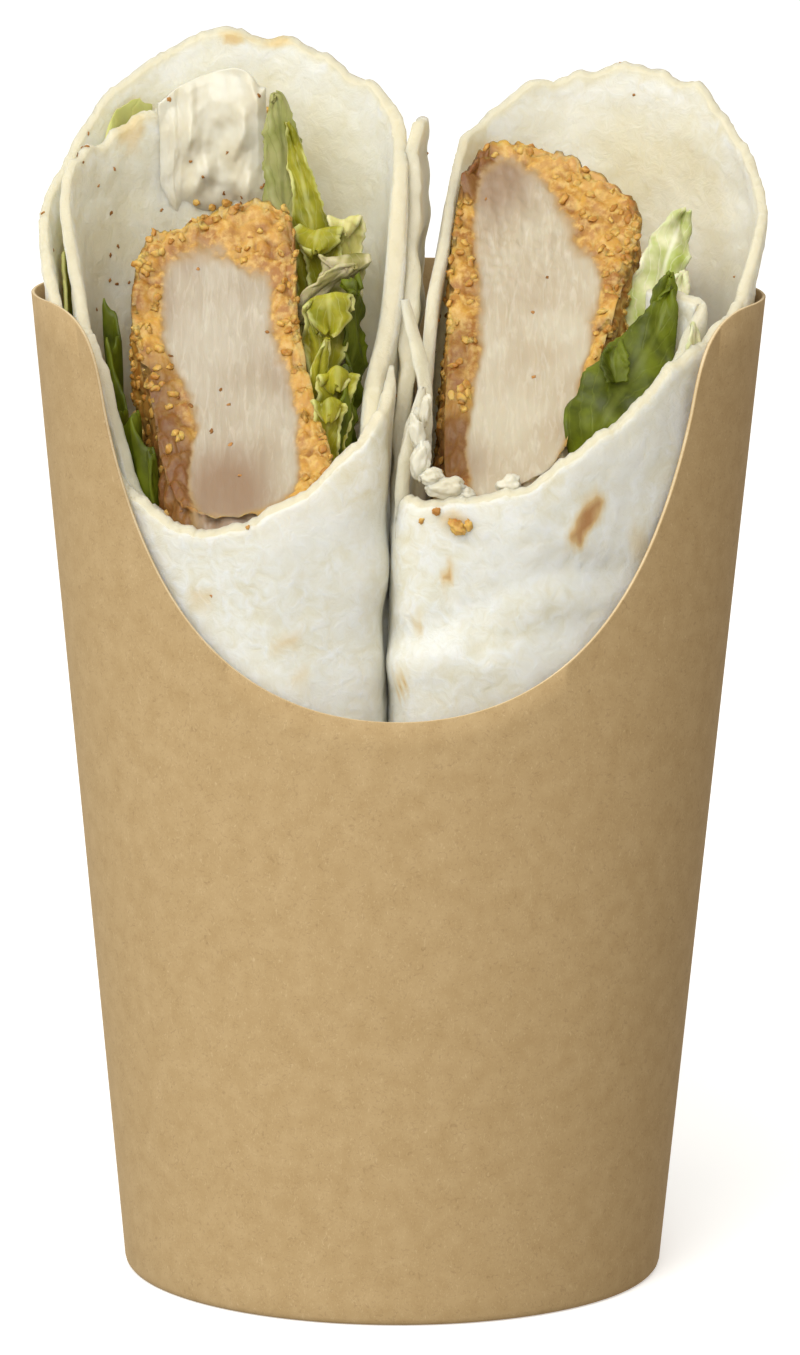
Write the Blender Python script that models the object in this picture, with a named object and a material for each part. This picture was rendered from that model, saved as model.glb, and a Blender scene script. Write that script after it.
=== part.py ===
"""A crispy chicken wrap, cut in two on the slant and stood upright in a kraft board scoop cup.

Run it with blender --background --python part.py. Metres, +Z up, the cup's low notch facing -Y.
The origin is the middle of the cup's foot, on the surface that the cup stands on.
An angle round a roll or the cup's base is measured from +X towards +Y; on the sleeve it starts at the
front (-Y) and grows towards +X.
"""

import math

import bmesh
import bpy
from mathutils import Vector, noise

# The board cup: a sleeve lapped and glued at the back, folded up at the foot round the base's skirt.
CUP_HEIGHT = 0.1525
FOOT_HALF_WIDTH = 0.0417
FOOT_HALF_DEPTH = 0.0368
MOUTH_HALF_WIDTH = 0.0558
MOUTH_HALF_DEPTH = 0.0395
BOARD = 0.0006
GAP = 0.0003
HEM_HEIGHT = 0.0070
BASE_RISE = 0.0080
LAP_START = 178.0
LAP_END = 192.0
NOTCH_LOW = 0.0936
NOTCH_SIDE = 54.0
NOTCH_KNEE = 0.1380
NOTCH_END = 72.0

# The two rolls of flour tortilla that share the cup, one each side of the plane x = 0.
TORTILLA = 0.0020
PITCH = 0.0024
ROLL_CENTRE_Y = -0.0030
ROLL_HALF_DEPTH = 0.0325
ROLL_FOOT = 0.0092
ROLL_CLEARANCE = 0.0005
TUCK = 0.0028
TUCK_HEIGHT = 0.014
SQUARENESS = 2.5
CORNER_SQUARENESS = 5.5
OVER_RIM = 0.0018
FILLING_LEVEL = 0.150
RIM_ROW = 0.1535

# Top edge of each sheet, as (degrees turned along the sheet, height in millimetres). The slanting cut is
# highest at the back and lowest at the front.
LEFT_START = 76.0
LEFT_END = 700.0
LEFT_EDGE = (
    (76, 181), (80, 183), (85, 183.8), (90, 183.3), (98, 182), (111, 179.6), (122, 177.4), (134, 175.4),
    (145, 173.4), (159, 171.5), (168, 169), (175, 163), (181, 156.5), (191, 150.5), (206, 146), (216, 141),
    (237, 124), (267, 119), (282, 119.5), (295, 123.5), (316, 129), (338, 139), (352, 147.5), (370, 167.5),
    (381, 173), (399, 180), (418, 185.2), (435, 188.3), (451, 189.3), (472, 184.5), (488, 178), (506, 169.5),
    (523, 162.5), (538, 157.3), (568, 142), (590, 128), (600, 125), (608, 122.7), (619, 121.3), (630, 121.2),
    (639, 123), (649, 126.4), (656, 129.2), (661, 132.2), (667, 135), (673, 138.2), (686, 141), (702, 143),
)
RIGHT_START = 27.0
RIGHT_END = 575.0
RIGHT_LAP = 215.0
HOOK_TURN = 6.0
HOOK_REACH = 0.0078
RIGHT_EDGE = (
    (15, 154), (30, 153.5), (45, 146), (60, 138), (86, 130), (108, 123.5), (135, 122), (152, 122.5),
    (166, 140), (176, 151), (197, 161.5), (215, 169.7), (241, 177.3), (258, 181.8), (276, 183.8), (287, 184.2),
    (304, 181.5), (323, 175.5), (342, 168.4), (360, 162), (377, 152.8), (391, 150), (405, 147), (417, 144.2),
    (427, 141), (435, 138), (443, 135), (452, 132.2), (459, 129.7), (466, 127.8), (472, 126.8), (478, 126.5),
    (491, 125.8), (512, 124.5), (522, 130), (534, 145), (546, 158), (558, 170), (566, 175.5), (575, 177.5),
)
# The right sheet's outer edge slants up beside the other roll, from the foot at the front.
RIGHT_FREE_EDGE = ((486, 9.2), (494, 30), (502, 55), (509, 78), (516, 98), (546, 124), (575, 150))

CRUST_CRAG = 0.0009
LEAF = 0.0008


def smooth(low, high, value):
    """0 below low, 1 above high, and a smooth step between."""
    t = min(1.0, max(0.0, (value - low) / (high - low)))
    return t * t * (3 - 2 * t)


def mix(a, b, t):
    return a + (b - a) * t


def along(table, place):
    """The value at a place in a table of (place, value) rows, on a smooth curve through the rows."""
    if place <= table[0][0]:
        return table[0][1]
    if place >= table[-1][0]:
        return table[-1][1]
    i = next(k for k in range(len(table) - 1) if place <= table[k + 1][0])
    (x0, y0), (x1, y1) = table[i], table[i + 1]
    before, after = table[max(i - 1, 0)], table[min(i + 2, len(table) - 1)]
    run = x1 - x0
    t = (place - x0) / run
    slope0 = (y1 - before[1]) / (x1 - before[0]) * run
    slope1 = (after[1] - y0) / (after[0] - x0) * run
    low = y0 * (1 + 2 * t) * (1 - t) ** 2 + slope0 * t * (1 - t) ** 2
    return low + y1 * t * t * (3 - 2 * t) + slope1 * t * t * (t - 1)


def curve_through(points, t, closed=False):
    """The Catmull-Rom curve through points of any dimension, t from 0 to 1 over its whole length."""
    count = len(points)
    spans = count if closed else count - 1
    place = min(max(t, 0.0), 1.0) * spans
    i = min(int(place), spans - 1)
    f = place - i

    def at(k):
        return points[k % count] if closed else points[min(max(k, 0), count - 1)]

    p0, p1, p2, p3 = at(i - 1), at(i), at(i + 1), at(i + 2)
    return [
        b + 0.5 * f * (c - a + f * (2 * a - 5 * b + 4 * c - d + f * (3 * (b - c) + d - a)))
        for a, b, c, d in zip(p0, p1, p2, p3)
    ]


def bezier(points, t):
    """A cubic Bezier through four (angle, height) points."""
    weights = ((1 - t) ** 3, 3 * t * (1 - t) ** 2, 3 * t * t * (1 - t), t**3)
    return [sum(w * p[k] for w, p in zip(weights, points)) for k in (0, 1)]


def new_material(name, colour, roughness):
    material = bpy.data.materials.new(name)
    material.use_nodes = True
    shader = material.node_tree.nodes["Principled BSDF"]
    shader.inputs["Base Color"].default_value = (*colour, 1.0)
    shader.inputs["Roughness"].default_value = roughness
    shader.inputs["Metallic"].default_value = 0.0
    return material


def new_object(name, mesh, material, crease=40):
    """Puts a bmesh into the scene as a named object, shaded smooth up to the crease angle."""
    data = bpy.data.meshes.new(name)
    mesh.to_mesh(data)
    mesh.free()
    data.materials.append(material)
    data.shade_smooth()
    data.set_sharp_from_angle(angle=math.radians(crease))
    obj = bpy.data.objects.new(name, data)
    bpy.context.scene.collection.objects.link(obj)
    return obj


def even(low, high, steps):
    """Evenly spaced places from low to high."""
    return [mix(low, high, i / steps) for i in range(steps + 1)]


def sheet(name, point, columns, rows, thickness, material):
    """A thin sheet with a thickness: point(u, v) is its middle surface, u from columns, v from 0 to 1."""
    mesh = bmesh.new()
    grid = [[mesh.verts.new(point(u, j / rows)) for j in range(rows + 1)] for u in columns]
    for near, far in zip(grid, grid[1:]):
        for j in range(rows):
            mesh.faces.new((near[j], far[j], far[j + 1], near[j + 1]))
    bmesh.ops.triangulate(mesh, faces=mesh.faces)
    obj = new_object(name, mesh, material)
    solidify = obj.modifiers.new("thickness", "SOLIDIFY")
    solidify.thickness = thickness
    solidify.offset = 0.0
    return obj


def ring_faces(mesh, rings):
    """Joins closed rings of vertices, each to the next, with quads."""
    for low, high in zip(rings, rings[1:]):
        count = len(low)
        for i in range(count):
            mesh.faces.new((low[i], low[(i + 1) % count], high[(i + 1) % count], high[i]))


# ---------------------------------------------------------------- the cup


def cup_half_sizes(height):
    """Half width and half depth of the sleeve's outside."""
    share = min(height, CUP_HEIGHT) / CUP_HEIGHT
    return mix(FOOT_HALF_WIDTH, MOUTH_HALF_WIDTH, share), mix(FOOT_HALF_DEPTH, MOUTH_HALF_DEPTH, share)


def cup_point(angle, inset, height):
    """A point of the sleeve, inset from its outside, at an angle from the front in degrees."""
    width, depth = cup_half_sizes(height)
    a = math.radians(angle)
    return Vector(((width - inset) * math.sin(a), -(depth - inset) * math.cos(a), height))


def rim_columns():
    """(angle, rim height, lap) round the sleeve. Columns crowd where the notch is steep."""
    low_curve = ((0, NOTCH_LOW), (32, NOTCH_LOW), (48.5, 0.1145), (NOTCH_SIDE, NOTCH_KNEE))
    corner = ((NOTCH_SIDE, NOTCH_KNEE), (55.6, 0.1480), (57.5, CUP_HEIGHT), (NOTCH_END, CUP_HEIGHT))
    right = [bezier(low_curve, i / 9) for i in range(9)] + [bezier(corner, i / 5) for i in range(6)]
    left = [(360 - angle, height) for angle, height in reversed(right[1:])]
    side_step = 7.6
    back = [NOTCH_END + side_step * k for k in range(1, int((LAP_START - NOTCH_END) / side_step))]
    back += [LAP_START, LAP_START + 0.2, (LAP_START + LAP_END) / 2, LAP_END]
    back += [LAP_END + side_step * k for k in range(1, int((360 - NOTCH_END - LAP_END) / side_step))]
    columns = right + [(angle, CUP_HEIGHT) for angle in back] + left
    return [(a, h, BOARD if LAP_START < a < LAP_END else 0.0) for a, h in columns]


def build_sleeve(material):
    """The sleeve's wall, folded in at the foot into a hem with a channel for the base's skirt."""
    columns = rim_columns()
    channel_out = BOARD
    channel_in = channel_out + GAP + BOARD + GAP
    hem_in = channel_in + BOARD
    foot = [
        (0.0, 0.0012),
        (0.0004, 0.0002),
        (0.0010, 0.0),
        (hem_in - 0.0004, 0.0),
        (hem_in, 0.0006),
        (hem_in, HEM_HEIGHT),
        (channel_in, HEM_HEIGHT),
        (channel_in, BOARD),
        (channel_out, BOARD),
    ]
    wall_shares = (1.0, 0.78, 0.52, 0.26, 0.06)
    mesh = bmesh.new()
    rings = []
    for share in wall_shares:
        rings.append([cup_point(a, -lap, top * share) for a, top, lap in columns])
    for inset, height in foot:
        outer = 1.0 if inset == 0.0 else 0.0
        rings.append([cup_point(a, inset - lap * outer, height) for a, top, lap in columns])
    for share in reversed(wall_shares):
        rings.append([cup_point(a, channel_out, top * share) for a, top, lap in columns])
    verts = [[mesh.verts.new(p) for p in ring] for ring in rings]
    ring_faces(mesh, verts + [verts[0]])
    bmesh.ops.recalc_face_normals(mesh, faces=mesh.faces)
    return new_object("cup_sleeve", mesh, material, crease=50)


def build_base(material):
    """The round base: a flat disc with a skirt turned down into the sleeve's hem."""
    skirt_out = BOARD + GAP
    skirt_in = skirt_out + BOARD
    top = BASE_RISE + BOARD
    profile = [(0.022, BASE_RISE), (skirt_in, BASE_RISE), (skirt_in, 0.0012), (skirt_out, 0.0012)]
    profile += [(skirt_out, top), (0.022, top)]
    mesh = bmesh.new()
    angles = [angle for angle, rim, lap in rim_columns()]
    count = len(angles)
    rings = [[mesh.verts.new(cup_point(a, inset, height)) for a in angles] for inset, height in profile]
    ring_faces(mesh, rings)
    for ring, height in ((rings[0], BASE_RISE), (rings[-1], top)):
        middle = mesh.verts.new((0, 0, height))
        for i in range(count):
            mesh.faces.new((ring[i], ring[(i + 1) % count], middle))
    bmesh.ops.recalc_face_normals(mesh, faces=mesh.faces)
    return new_object("cup_base", mesh, material, crease=50)


# ---------------------------------------------------------------- the two rolls


def divide_x(height):
    """Where the left roll ends and the right one starts: the right leans over the left low down."""
    low = mix(-0.0010, 0.0010, smooth(0.120, 0.152, height))
    return low + 0.0008 * smooth(0.152, 0.175, height)


def roll_room(height):
    """Half width and half depth of the room for the rolls. Above the cup's rim they bulge a little."""
    width, depth = cup_half_sizes(height)
    less = BOARD + ROLL_CLEARANCE - OVER_RIM * min(1.0, max(0.0, (height - RIM_ROW) / 0.012))
    return width - less, depth - less


def roll_span(side, height):
    """Lowest and highest x of a roll, side -1 for the left and 1 for the right."""
    reach = roll_room(height)[0]
    middle = divide_x(height)
    if side < 0:
        return -reach, middle - GAP
    return middle + GAP, reach


def roll_radius(side, angle, height, depth=1.0):
    """Distance from a roll's centre line to its outer face, held in by the cup's wall and the other roll.
    The front corner beside the other roll is square on the outer turn, at depth 0, and rounder further in."""
    low, high = roll_span(side, height)
    centre, half_width = (low + high) / 2, (high - low) / 2
    a, b = roll_room(height)
    c, s = math.cos(math.radians(angle)), math.sin(math.radians(angle))
    corner = smooth(0.2, 0.9, -side * c) * smooth(0.1, 0.8, -s)
    n = mix(SQUARENESS, CORNER_SQUARENESS, corner * (1 - 0.6 * depth))
    own = ((abs(c) / (half_width * 1.07)) ** n + (abs(s) / ROLL_HALF_DEPTH) ** n) ** (-1 / n)
    qa = (c / a) ** 2 + (s / b) ** 2
    qb = centre * c / a**2 + ROLL_CENTRE_Y * s / b**2
    qc = (centre / a) ** 2 + (ROLL_CENTRE_Y / b) ** 2 - 1
    to_wall = (-qb + math.sqrt(qb * qb - qa * qc)) / qa
    towards_other = -side * c
    to_other = half_width / towards_other if towards_other > 0.05 else 1.0
    held = sum(r**-36 for r in (own, to_wall, to_other)) ** (-1 / 36)
    sag = 0.00016 * (2 + math.sin(3 * math.radians(angle) + 60 * height) + math.sin(95 * height + side))
    return held - sag * (1 - 0.8 * smooth(0.3, 0.9, -side * c))


def roll_centre(side, height):
    low, high = roll_span(side, height)
    return Vector(((low + high) / 2, ROLL_CENTRE_Y, height))


def roll_point(side, angle, inset, height):
    """A point on a layer of a roll, inset square to the outer face. The rolls tuck in at their feet."""

    depth = smooth(0.0012, 0.0030, inset)

    def outside(degrees):
        a = math.radians(degrees)
        return Vector((math.cos(a), math.sin(a), 0)) * roll_radius(side, degrees, height, depth)

    along_face = outside(angle + 1.5) - outside(angle - 1.5)
    inward = Vector((-along_face.y, along_face.x, 0)).normalized()
    tuck = TUCK * max(0.0, 1 - (height - ROLL_FOOT) / TUCK_HEIGHT) ** 2
    return roll_centre(side, height) + outside(angle) + inward * (inset + tuck)


def in_roll(side, x_mm, y_mm, height):
    """Where a thing in a roll stands at a height. x_mm and y_mm are its plan place at FILLING_LEVEL, and it
    follows the roll's taper from there."""
    centre = roll_centre(side, FILLING_LEVEL)
    x, y = x_mm / 1000 - centre.x, y_mm / 1000 - centre.y
    angle = math.degrees(math.atan2(y, x))
    inside = 0.0064
    share = (roll_radius(side, angle, height) - inside) / (roll_radius(side, angle, FILLING_LEVEL) - inside)
    return roll_centre(side, height) + Vector((x, y, 0)) * min(share, 1.04)


def row_height(foot, top, v):
    """Height of a row of a sheet: the rows bend at the cup's rim, where the rolls start to bulge."""
    knee = min(RIM_ROW, top - 0.0045)
    return mix(foot, knee, (v / 0.66) ** 0.85) if v < 0.66 else mix(knee, top, (v - 0.66) / 0.34)


def layer_inset(turned, lap_start):
    """How far in a layer lies: under the outer turn up to lap_start, then rising to be the outer turn."""
    return PITCH * (1 - smooth(lap_start, lap_start + 26, turned))


def left_inset(turned, height):
    """Inset of the left sheet's middle surface. It starts as a loose flap, curled in at its free end."""
    low, high = roll_span(-1, height)
    taper = min(1.0, (high - low) / 0.0545) ** 2
    flap = 0.0046 * (1 - smooth(95, 185, turned)) + 0.0016 * (1 - smooth(185, 245, turned))
    curl = 0.0028 * (1 - smooth(LEFT_START, LEFT_START + 18, turned))
    return TORTILLA / 2 + layer_inset(turned, LEFT_END - 360) + (flap + curl) * taper


def left_sheet_point(turned, v):
    """The left sheet: a flap behind the chicken, then round by the outside and the front and on round."""
    waver = 0.0004 * math.sin(turned * 0.21) + 0.0003 * math.sin(turned * 0.47)
    edge = along(LEFT_EDGE, turned) / 1000 + waver
    height = row_height(ROLL_FOOT, edge, v)
    return roll_point(-1, turned, left_inset(turned, height), height)


def right_inset(turned, height):
    """Inset of the right sheet's middle surface. Its outer end stands off beside the other roll at the top."""
    hooked = max(0.0, 1 - (turned - RIGHT_START) / HOOK_TURN)
    apart = 0.0022 * smooth(0.140, 0.165, height) * smooth(168, 196, turned) * (1 - smooth(222, 262, turned))
    taper = roll_radius(1, -turned, height) / roll_radius(1, -turned, FILLING_LEVEL)
    hook = HOOK_REACH * taper * hooked**1.4 + 0.0006 * (1 - smooth(RIGHT_START, 55, turned))
    return TORTILLA / 2 + layer_inset(turned, RIGHT_LAP) + apart + hook


def right_sheet_point(turned, v):
    """The right sheet: a hook off the outer wall, then round by the front, the other roll and the back.
    Its turn is counted from +X towards the front. It ends in a tongue that slants up beside the other roll."""
    waver = 0.0004 * math.sin(turned * 0.23) + 0.0003 * math.sin(turned * 0.5)
    edge = along(RIGHT_EDGE, turned) / 1000 + waver
    height = row_height(along(RIGHT_FREE_EDGE, turned) / 1000, edge, v)
    crease_line = 0.0995 + 0.00010 * (500 - turned)
    crease = 0.0011 * math.exp(-(((height - crease_line) / 0.0030) ** 2)) * smooth(452, 470, turned)
    inset = right_inset(turned, height) - crease * (1 - smooth(490, 510, turned))
    return roll_point(1, -turned, inset, height)


# ---------------------------------------------------------------- the fillings


# The cut across each roll's filling, as height in millimetres over x and y: terms 1, x, y, xy, x cubed and y
# cubed, with x and y counted from CUT_MIDDLE in units of CUT_REACH.
CUT_MIDDLE = {-1: (-0.0270, -0.0030), 1: (0.0285, -0.0030)}
CUT_REACH = (0.0275, 0.0310)
CUT_TERMS = {-1: (154.0, 4.1, 44.2, 0.0, -1.7, -11.2), 1: (157.2, 8.0, 35.2, -6.5, -2.2, -9.0)}


def on_cut(side, x, y):
    a = (x - CUT_MIDDLE[side][0]) / CUT_REACH[0]
    b = (y - CUT_MIDDLE[side][1]) / CUT_REACH[1]
    return sum(k * t for k, t in zip(CUT_TERMS[side], (1, a, b, a * b, a**3, b**3))) / 1000


def fillet(name, side, outline_mm, foot, material):
    """A crumbed fillet standing in its roll. Its top is the slanting cut, outline_mm that cut from above."""
    columns = 44
    heights = (0.0, 0.06, 0.22, 0.42, 0.60, 0.74, 0.85, 0.93, 1.0)
    rings = (0.90, 0.78, 0.52, 0.26)
    middle = Vector((sum(p[0] for p in outline_mm), sum(p[1] for p in outline_mm))) / len(outline_mm) / 1000
    mesh = bmesh.new()
    outline = [Vector(curve_through(outline_mm, k / columns, closed=True)) / 1000 for k in range(columns)]
    levels = []
    for h in heights:
        level = []
        for p in outline:
            height = mix(foot, on_cut(side, p.x, p.y), h)
            fullness = min(1.0, 0.72 + 2.4 * h)
            full = middle + (p - middle) * fullness
            flat = in_roll(side, full.x * 1000, full.y * 1000, height).to_2d()
            crag = noise.noise(Vector((flat.x, flat.y, height)) * 260) * CRUST_CRAG
            away = (p - middle).normalized() * (crag - 0.0005)
            level.append(mesh.verts.new((flat.x + away.x, flat.y + away.y, height)))
        levels.append(level)
    for r in rings:
        level = []
        for p in outline:
            flat = middle + (p - middle) * r
            level_with = on_cut(side, flat.x, flat.y)
            flat = in_roll(side, flat.x * 1000, flat.y * 1000, level_with).to_2d()
            crust = smooth(0.80, 0.92, r)
            crag = noise.noise(Vector((flat.x, flat.y, 0.3)) * 300)
            rise = crust * (0.0002 + crag * 0.0010) + (1 - crust) * 0.0004 * crag
            level.append(mesh.verts.new((flat.x, flat.y, level_with + rise)))
        levels.append(level)
    ring_faces(mesh, levels)
    low_middle = in_roll(side, middle.x * 1000, middle.y * 1000, foot)
    for ring, centre in (
        (levels[0], (low_middle.x, low_middle.y, foot - 0.003)),
        (levels[-1], (middle.x, middle.y, on_cut(side, middle.x, middle.y))),
    ):
        tip = mesh.verts.new(centre)
        for i in range(columns):
            mesh.faces.new((ring[i], ring[(i + 1) % columns], tip))
    bmesh.ops.recalc_face_normals(mesh, faces=mesh.faces)
    return new_object(name, mesh, material, crease=60)


LEFT_FILLET_MM = (
    (-40.6, -5.0),
    (-37.8, 1.8),
    (-31.0, 3.2),
    (-21.5, 4.6),
    (-16.0, 1.8),
    (-15.0, -7.5),
    (-12.0, -16.6),
    (-9.4, -24.0),
    (-16.0, -27.2),
    (-26.0, -27.6),
    (-33.2, -24.6),
    (-36.8, -17.0),
)
RIGHT_FILLET_MM = (
    (8.6, 8.5),
    (11.2, 14.6),
    (17.0, 16.5),
    (25.0, 14.0),
    (35.6, 5.0),
    (35.4, -3.0),
    (32.0, -11.5),
    (28.2, -21.0),
    (25.0, -27.8),
    (14.5, -28.0),
    (8.4, -22.6),
    (7.6, -8.0),
)


def leaf(name, side, spine_mm, half_widths_mm, across, curl, ruffle_mm, material, columns=8, rows=3):
    """A thin leaf. Its spine runs from its free tip down into the roll, across is the direction of its width,
    curl bends it round the spine (radians from spine to edge), and its edges ruffle."""
    width_line = Vector(across).normalized()

    def spine(u):
        x, y, height = curve_through(spine_mm, min(max(u, 0.0), 1.0))
        return in_roll(side, x, y, height / 1000)

    def point(u, v):
        place = spine(u)
        ahead = (spine(u + 0.02) - spine(u - 0.02)).normalized()
        wide = (width_line - ahead * width_line.dot(ahead)).normalized()
        out = ahead.cross(wide)
        half = curve_through([(w,) for w in half_widths_mm], u)[0] / 1000
        t = 2 * v - 1
        bend = curl if abs(curl) > 0.01 else 0.01
        ripple = ruffle_mm / 1000 * math.sin(11 * u + 2.2 * t) * t * t
        lift = half * (1 - math.cos(bend * t)) / bend + ripple
        return place + wide * half * math.sin(bend * t) / bend + out * lift

    return sheet(name, point, even(0, 1, columns), rows, LEAF, material)


def between_leaf_point(u, v):
    """A lettuce leaf rolled in between the left sheet's two turns, showing as a fringe behind the flap."""
    turned = mix(112.0, 196.0, u)
    inset = PITCH + 0.0006 + 0.0001 * math.sin(turned * 0.4)
    edge = along(LEFT_EDGE, turned + 360) / 1000 - 0.0060
    edge += 0.0045 * math.exp(-(((turned - 124) / 7) ** 2)) + 0.0006 * math.sin(turned * 0.55)
    return roll_point(-1, turned, inset, row_height(0.070, edge, v))


SIDE_LEAF_MM = ((-43.8, 1.5), (-43.5, -4.0), (-42.4, -10.0), (-40.5, -15.0), (-38.4, -19.0), (-36.6, -21.6))


def side_leaf_point(u, v):
    """A lettuce leaf standing between the left fillet and the outer side of its roll."""
    x, y = curve_through(SIDE_LEAF_MM, u)
    edge = on_cut(-1, x / 1000, y / 1000) + 0.0012 + 0.0010 * math.sin(21 * u) + 0.0005 * math.sin(47 * u)
    wave = 0.6 * math.sin(24 * u + 3 * v) * v
    return in_roll(-1, x + wave, y + 0.3 * wave, mix(0.075, edge, v))


def flap_sauce_inset(u, v):
    """Thickness of the lumpy sauce on the flap, tapering to its edge."""
    edge = min(1.0, 6 * u, 6 * (1 - u), 5 * v, 5 * (1 - v))
    lumps = 0.5 + 0.5 * noise.noise(Vector((u * 4.2, v * 3.4, 1.7)))
    return 0.0007 + smooth(0.0, 1.0, edge) * (0.0004 + 0.0026 * lumps)


def build_flap_sauce(material):
    """Sauce spread on the inner face of the left flap, in lumps."""
    columns, rows = 14, 9
    mesh = bmesh.new()
    layers = []
    for side in (0, 1):
        grid = []
        for i in range(columns + 1):
            u = i / columns
            turned = mix(84.0, 128.0, u)
            top = along(LEFT_EDGE, turned) / 1000 - 0.0022
            low = mix(0.158, 0.163, math.sin(math.pi * u)) - 0.003 * smooth(0.5, 1.0, u)
            column = []
            for j in range(rows + 1):
                v = j / rows
                height = mix(low, top, v)
                inset = left_inset(turned, height) + TORTILLA / 2 + 2.5 * GAP
                if side:
                    inset += flap_sauce_inset(u, v)
                column.append(mesh.verts.new(roll_point(-1, turned, inset, height)))
            grid.append(column)
        layers.append(grid)
    for grid in layers:
        for near, far in zip(grid, grid[1:]):
            for j in range(rows):
                mesh.faces.new((near[j], far[j], far[j + 1], near[j + 1]))
    outside, inside = layers
    border = [(i, 0) for i in range(columns)] + [(columns, j) for j in range(rows)]
    border += [(i, rows) for i in range(columns, 0, -1)] + [(0, j) for j in range(rows, 0, -1)]
    for (i, j), (k, l) in zip(border, border[1:] + border[:1]):
        mesh.faces.new((outside[i][j], outside[k][l], inside[k][l], inside[i][j]))
    bmesh.ops.recalc_face_normals(mesh, faces=mesh.faces)
    return new_object("sauce_left", mesh, material, crease=80)


LEAVES = (
    ("leaf_left_dark", "spinach",
     ((-18.6, 13.5, 181), (-17.9, 12.2, 175), (-17.4, 10.8, 168), (-17.0, 9.6, 158), (-16.8, 9.0, 140),
      (-16.8, 8.8, 118)),
     (0.8, 2.2, 2.6, 2.8, 2.6, 2.2), (1, 0.15, 0), 0.5, 0.3),
    ("leaf_left_bright", "romaine",
     ((-15.9, 10.5, 177), (-15.0, 9.0, 171), (-13.4, 7.2, 166), (-12.3, 5.4, 160), (-12.0, 4.6, 146),
      (-12.0, 4.2, 122)),
     (0.6, 1.6, 2.4, 2.6, 2.0, 1.8), (1, 0.1, 0), -0.7, 0.5),
    ("leaf_left_yellow", "romaine",
     ((-9.2, 6.9, 167), (-8.0, 6.0, 163.5), (-7.4, 5.2, 158), (-7.2, 5.0, 142), (-7.2, 5.0, 122)),
     (1.0, 1.6, 1.5, 1.2, 1.1), (1, 0.1, 0), 0.6, 0.2),
    ("leaf_left_sauced", "sauced",
     ((-10.4, -0.6, 160), (-10.4, -1.6, 156), (-10.6, -1.9, 150), (-10.9, -1.4, 136), (-11, -1, 118)),
     (3.2, 3.9, 3.4, 2.8, 2.4), (1, 0.2, 0.3), -0.8, 0.5),
    ("leaf_left_curl", "romaine",
     ((-11.2, -6.6, 155), (-10.8, -7.8, 150), (-10.6, -8.4, 144), (-10.5, -8.2, 130), (-10.5, -8, 110)),
     (1.2, 2.5, 2.6, 2.3, 2.0), (1, 0.1, 0), 1.3, 0.4),
    ("leaf_left_fold", "romaine",
     ((-9.3, -13.6, 148), (-9.0, -15.2, 142), (-8.8, -16.0, 135), (-8.7, -16, 124), (-8.7, -15.6, 106)),
     (1.4, 2.3, 2.3, 2.0, 1.8), (1, 0.15, 0), 1.3, 0.4),
    ("leaf_left_behind", "spinach",
     ((-6.8, -6.5, 154), (-6.8, -7.6, 149), (-6.8, -8.4, 141), (-6.8, -8.6, 126), (-6.8, -8.6, 108)),
     (1.6, 3.4, 4.4, 4.0, 3.0), (0.06, 1, 0), 0.2, 0.2),
    ("leaf_right_pale", "romaine",
     ((41.2, 2.0, 167.5), (40.4, -1.0, 162.5), (39.2, -4.2, 156), (38.8, -5.6, 148), (38.8, -5.8, 133),
      (38.6, -5.8, 112)),
     (0.8, 2.5, 4.0, 3.8, 3.2, 2.8), (1, 0.3, 0), -0.5, 0.5),
    ("leaf_right_spinach", "spinach",
     ((37.8, -14.8, 154), (36.1, -17.4, 149.5), (34.0, -20.4, 144.2), (34.2, -21.8, 136), (34.2, -21.8, 126),
      (34.4, -21.6, 110)),
     (1.4, 4.6, 6.7, 4.4, 3.2, 2.8), (0.84, 0.33, 0.40), -0.4, 0.4),
    ("leaf_right_tuck", "spinach",
     ((40.0, -11.6, 157), (39.4, -12.3, 153.5), (39.2, -12.8, 148), (39.2, -13.2, 134), (39.2, -13.2, 114)),
     (0.8, 1.9, 2.0, 1.8, 1.6), (1, 0.2, 0), 0.5, 0.2),
)


def build():
    for obj in list(bpy.data.objects):
        bpy.data.objects.remove(obj, do_unlink=True)
    kraft = new_material("kraft_board", (0.52, 0.36, 0.20), 0.85)
    tortilla = new_material("flour_tortilla", (0.86, 0.80, 0.66), 0.55)
    crumb = new_material("fried_crumb", (0.62, 0.33, 0.10), 0.6)
    sauce = new_material("white_sauce", (0.90, 0.88, 0.80), 0.3)
    green = {
        "romaine": new_material("romaine", (0.33, 0.45, 0.08), 0.45),
        "spinach": new_material("spinach", (0.10, 0.20, 0.04), 0.4),
        "sauced": new_material("sauced_lettuce", (0.40, 0.42, 0.20), 0.35),
    }
    build_sleeve(kraft)
    build_base(kraft)
    hook_turns = even(RIGHT_START, RIGHT_START + HOOK_TURN, 4)
    right_turns = hook_turns + even(RIGHT_START + HOOK_TURN, RIGHT_END, 90)[1:]
    sheet("tortilla_left", left_sheet_point, even(LEFT_START, LEFT_END, 96), 6, TORTILLA, tortilla)
    sheet("tortilla_right", right_sheet_point, right_turns, 6, TORTILLA, tortilla)
    fillet("chicken_left", -1, LEFT_FILLET_MM, 0.018, crumb)
    fillet("chicken_right", 1, RIGHT_FILLET_MM, 0.018, crumb)
    build_flap_sauce(sauce)
    sheet("leaf_left_between", between_leaf_point, even(0, 1, 14), 6, LEAF, green["romaine"])
    sheet("leaf_left_side", side_leaf_point, even(0, 1, 16), 4, LEAF, green["romaine"])
    for name, kind, spine_mm, half_widths_mm, across, curl, ruffle_mm in LEAVES:
        side = -1 if "left" in name else 1
        leaf(name, side, spine_mm, half_widths_mm, across, curl, ruffle_mm, green[kind])


build()
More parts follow.
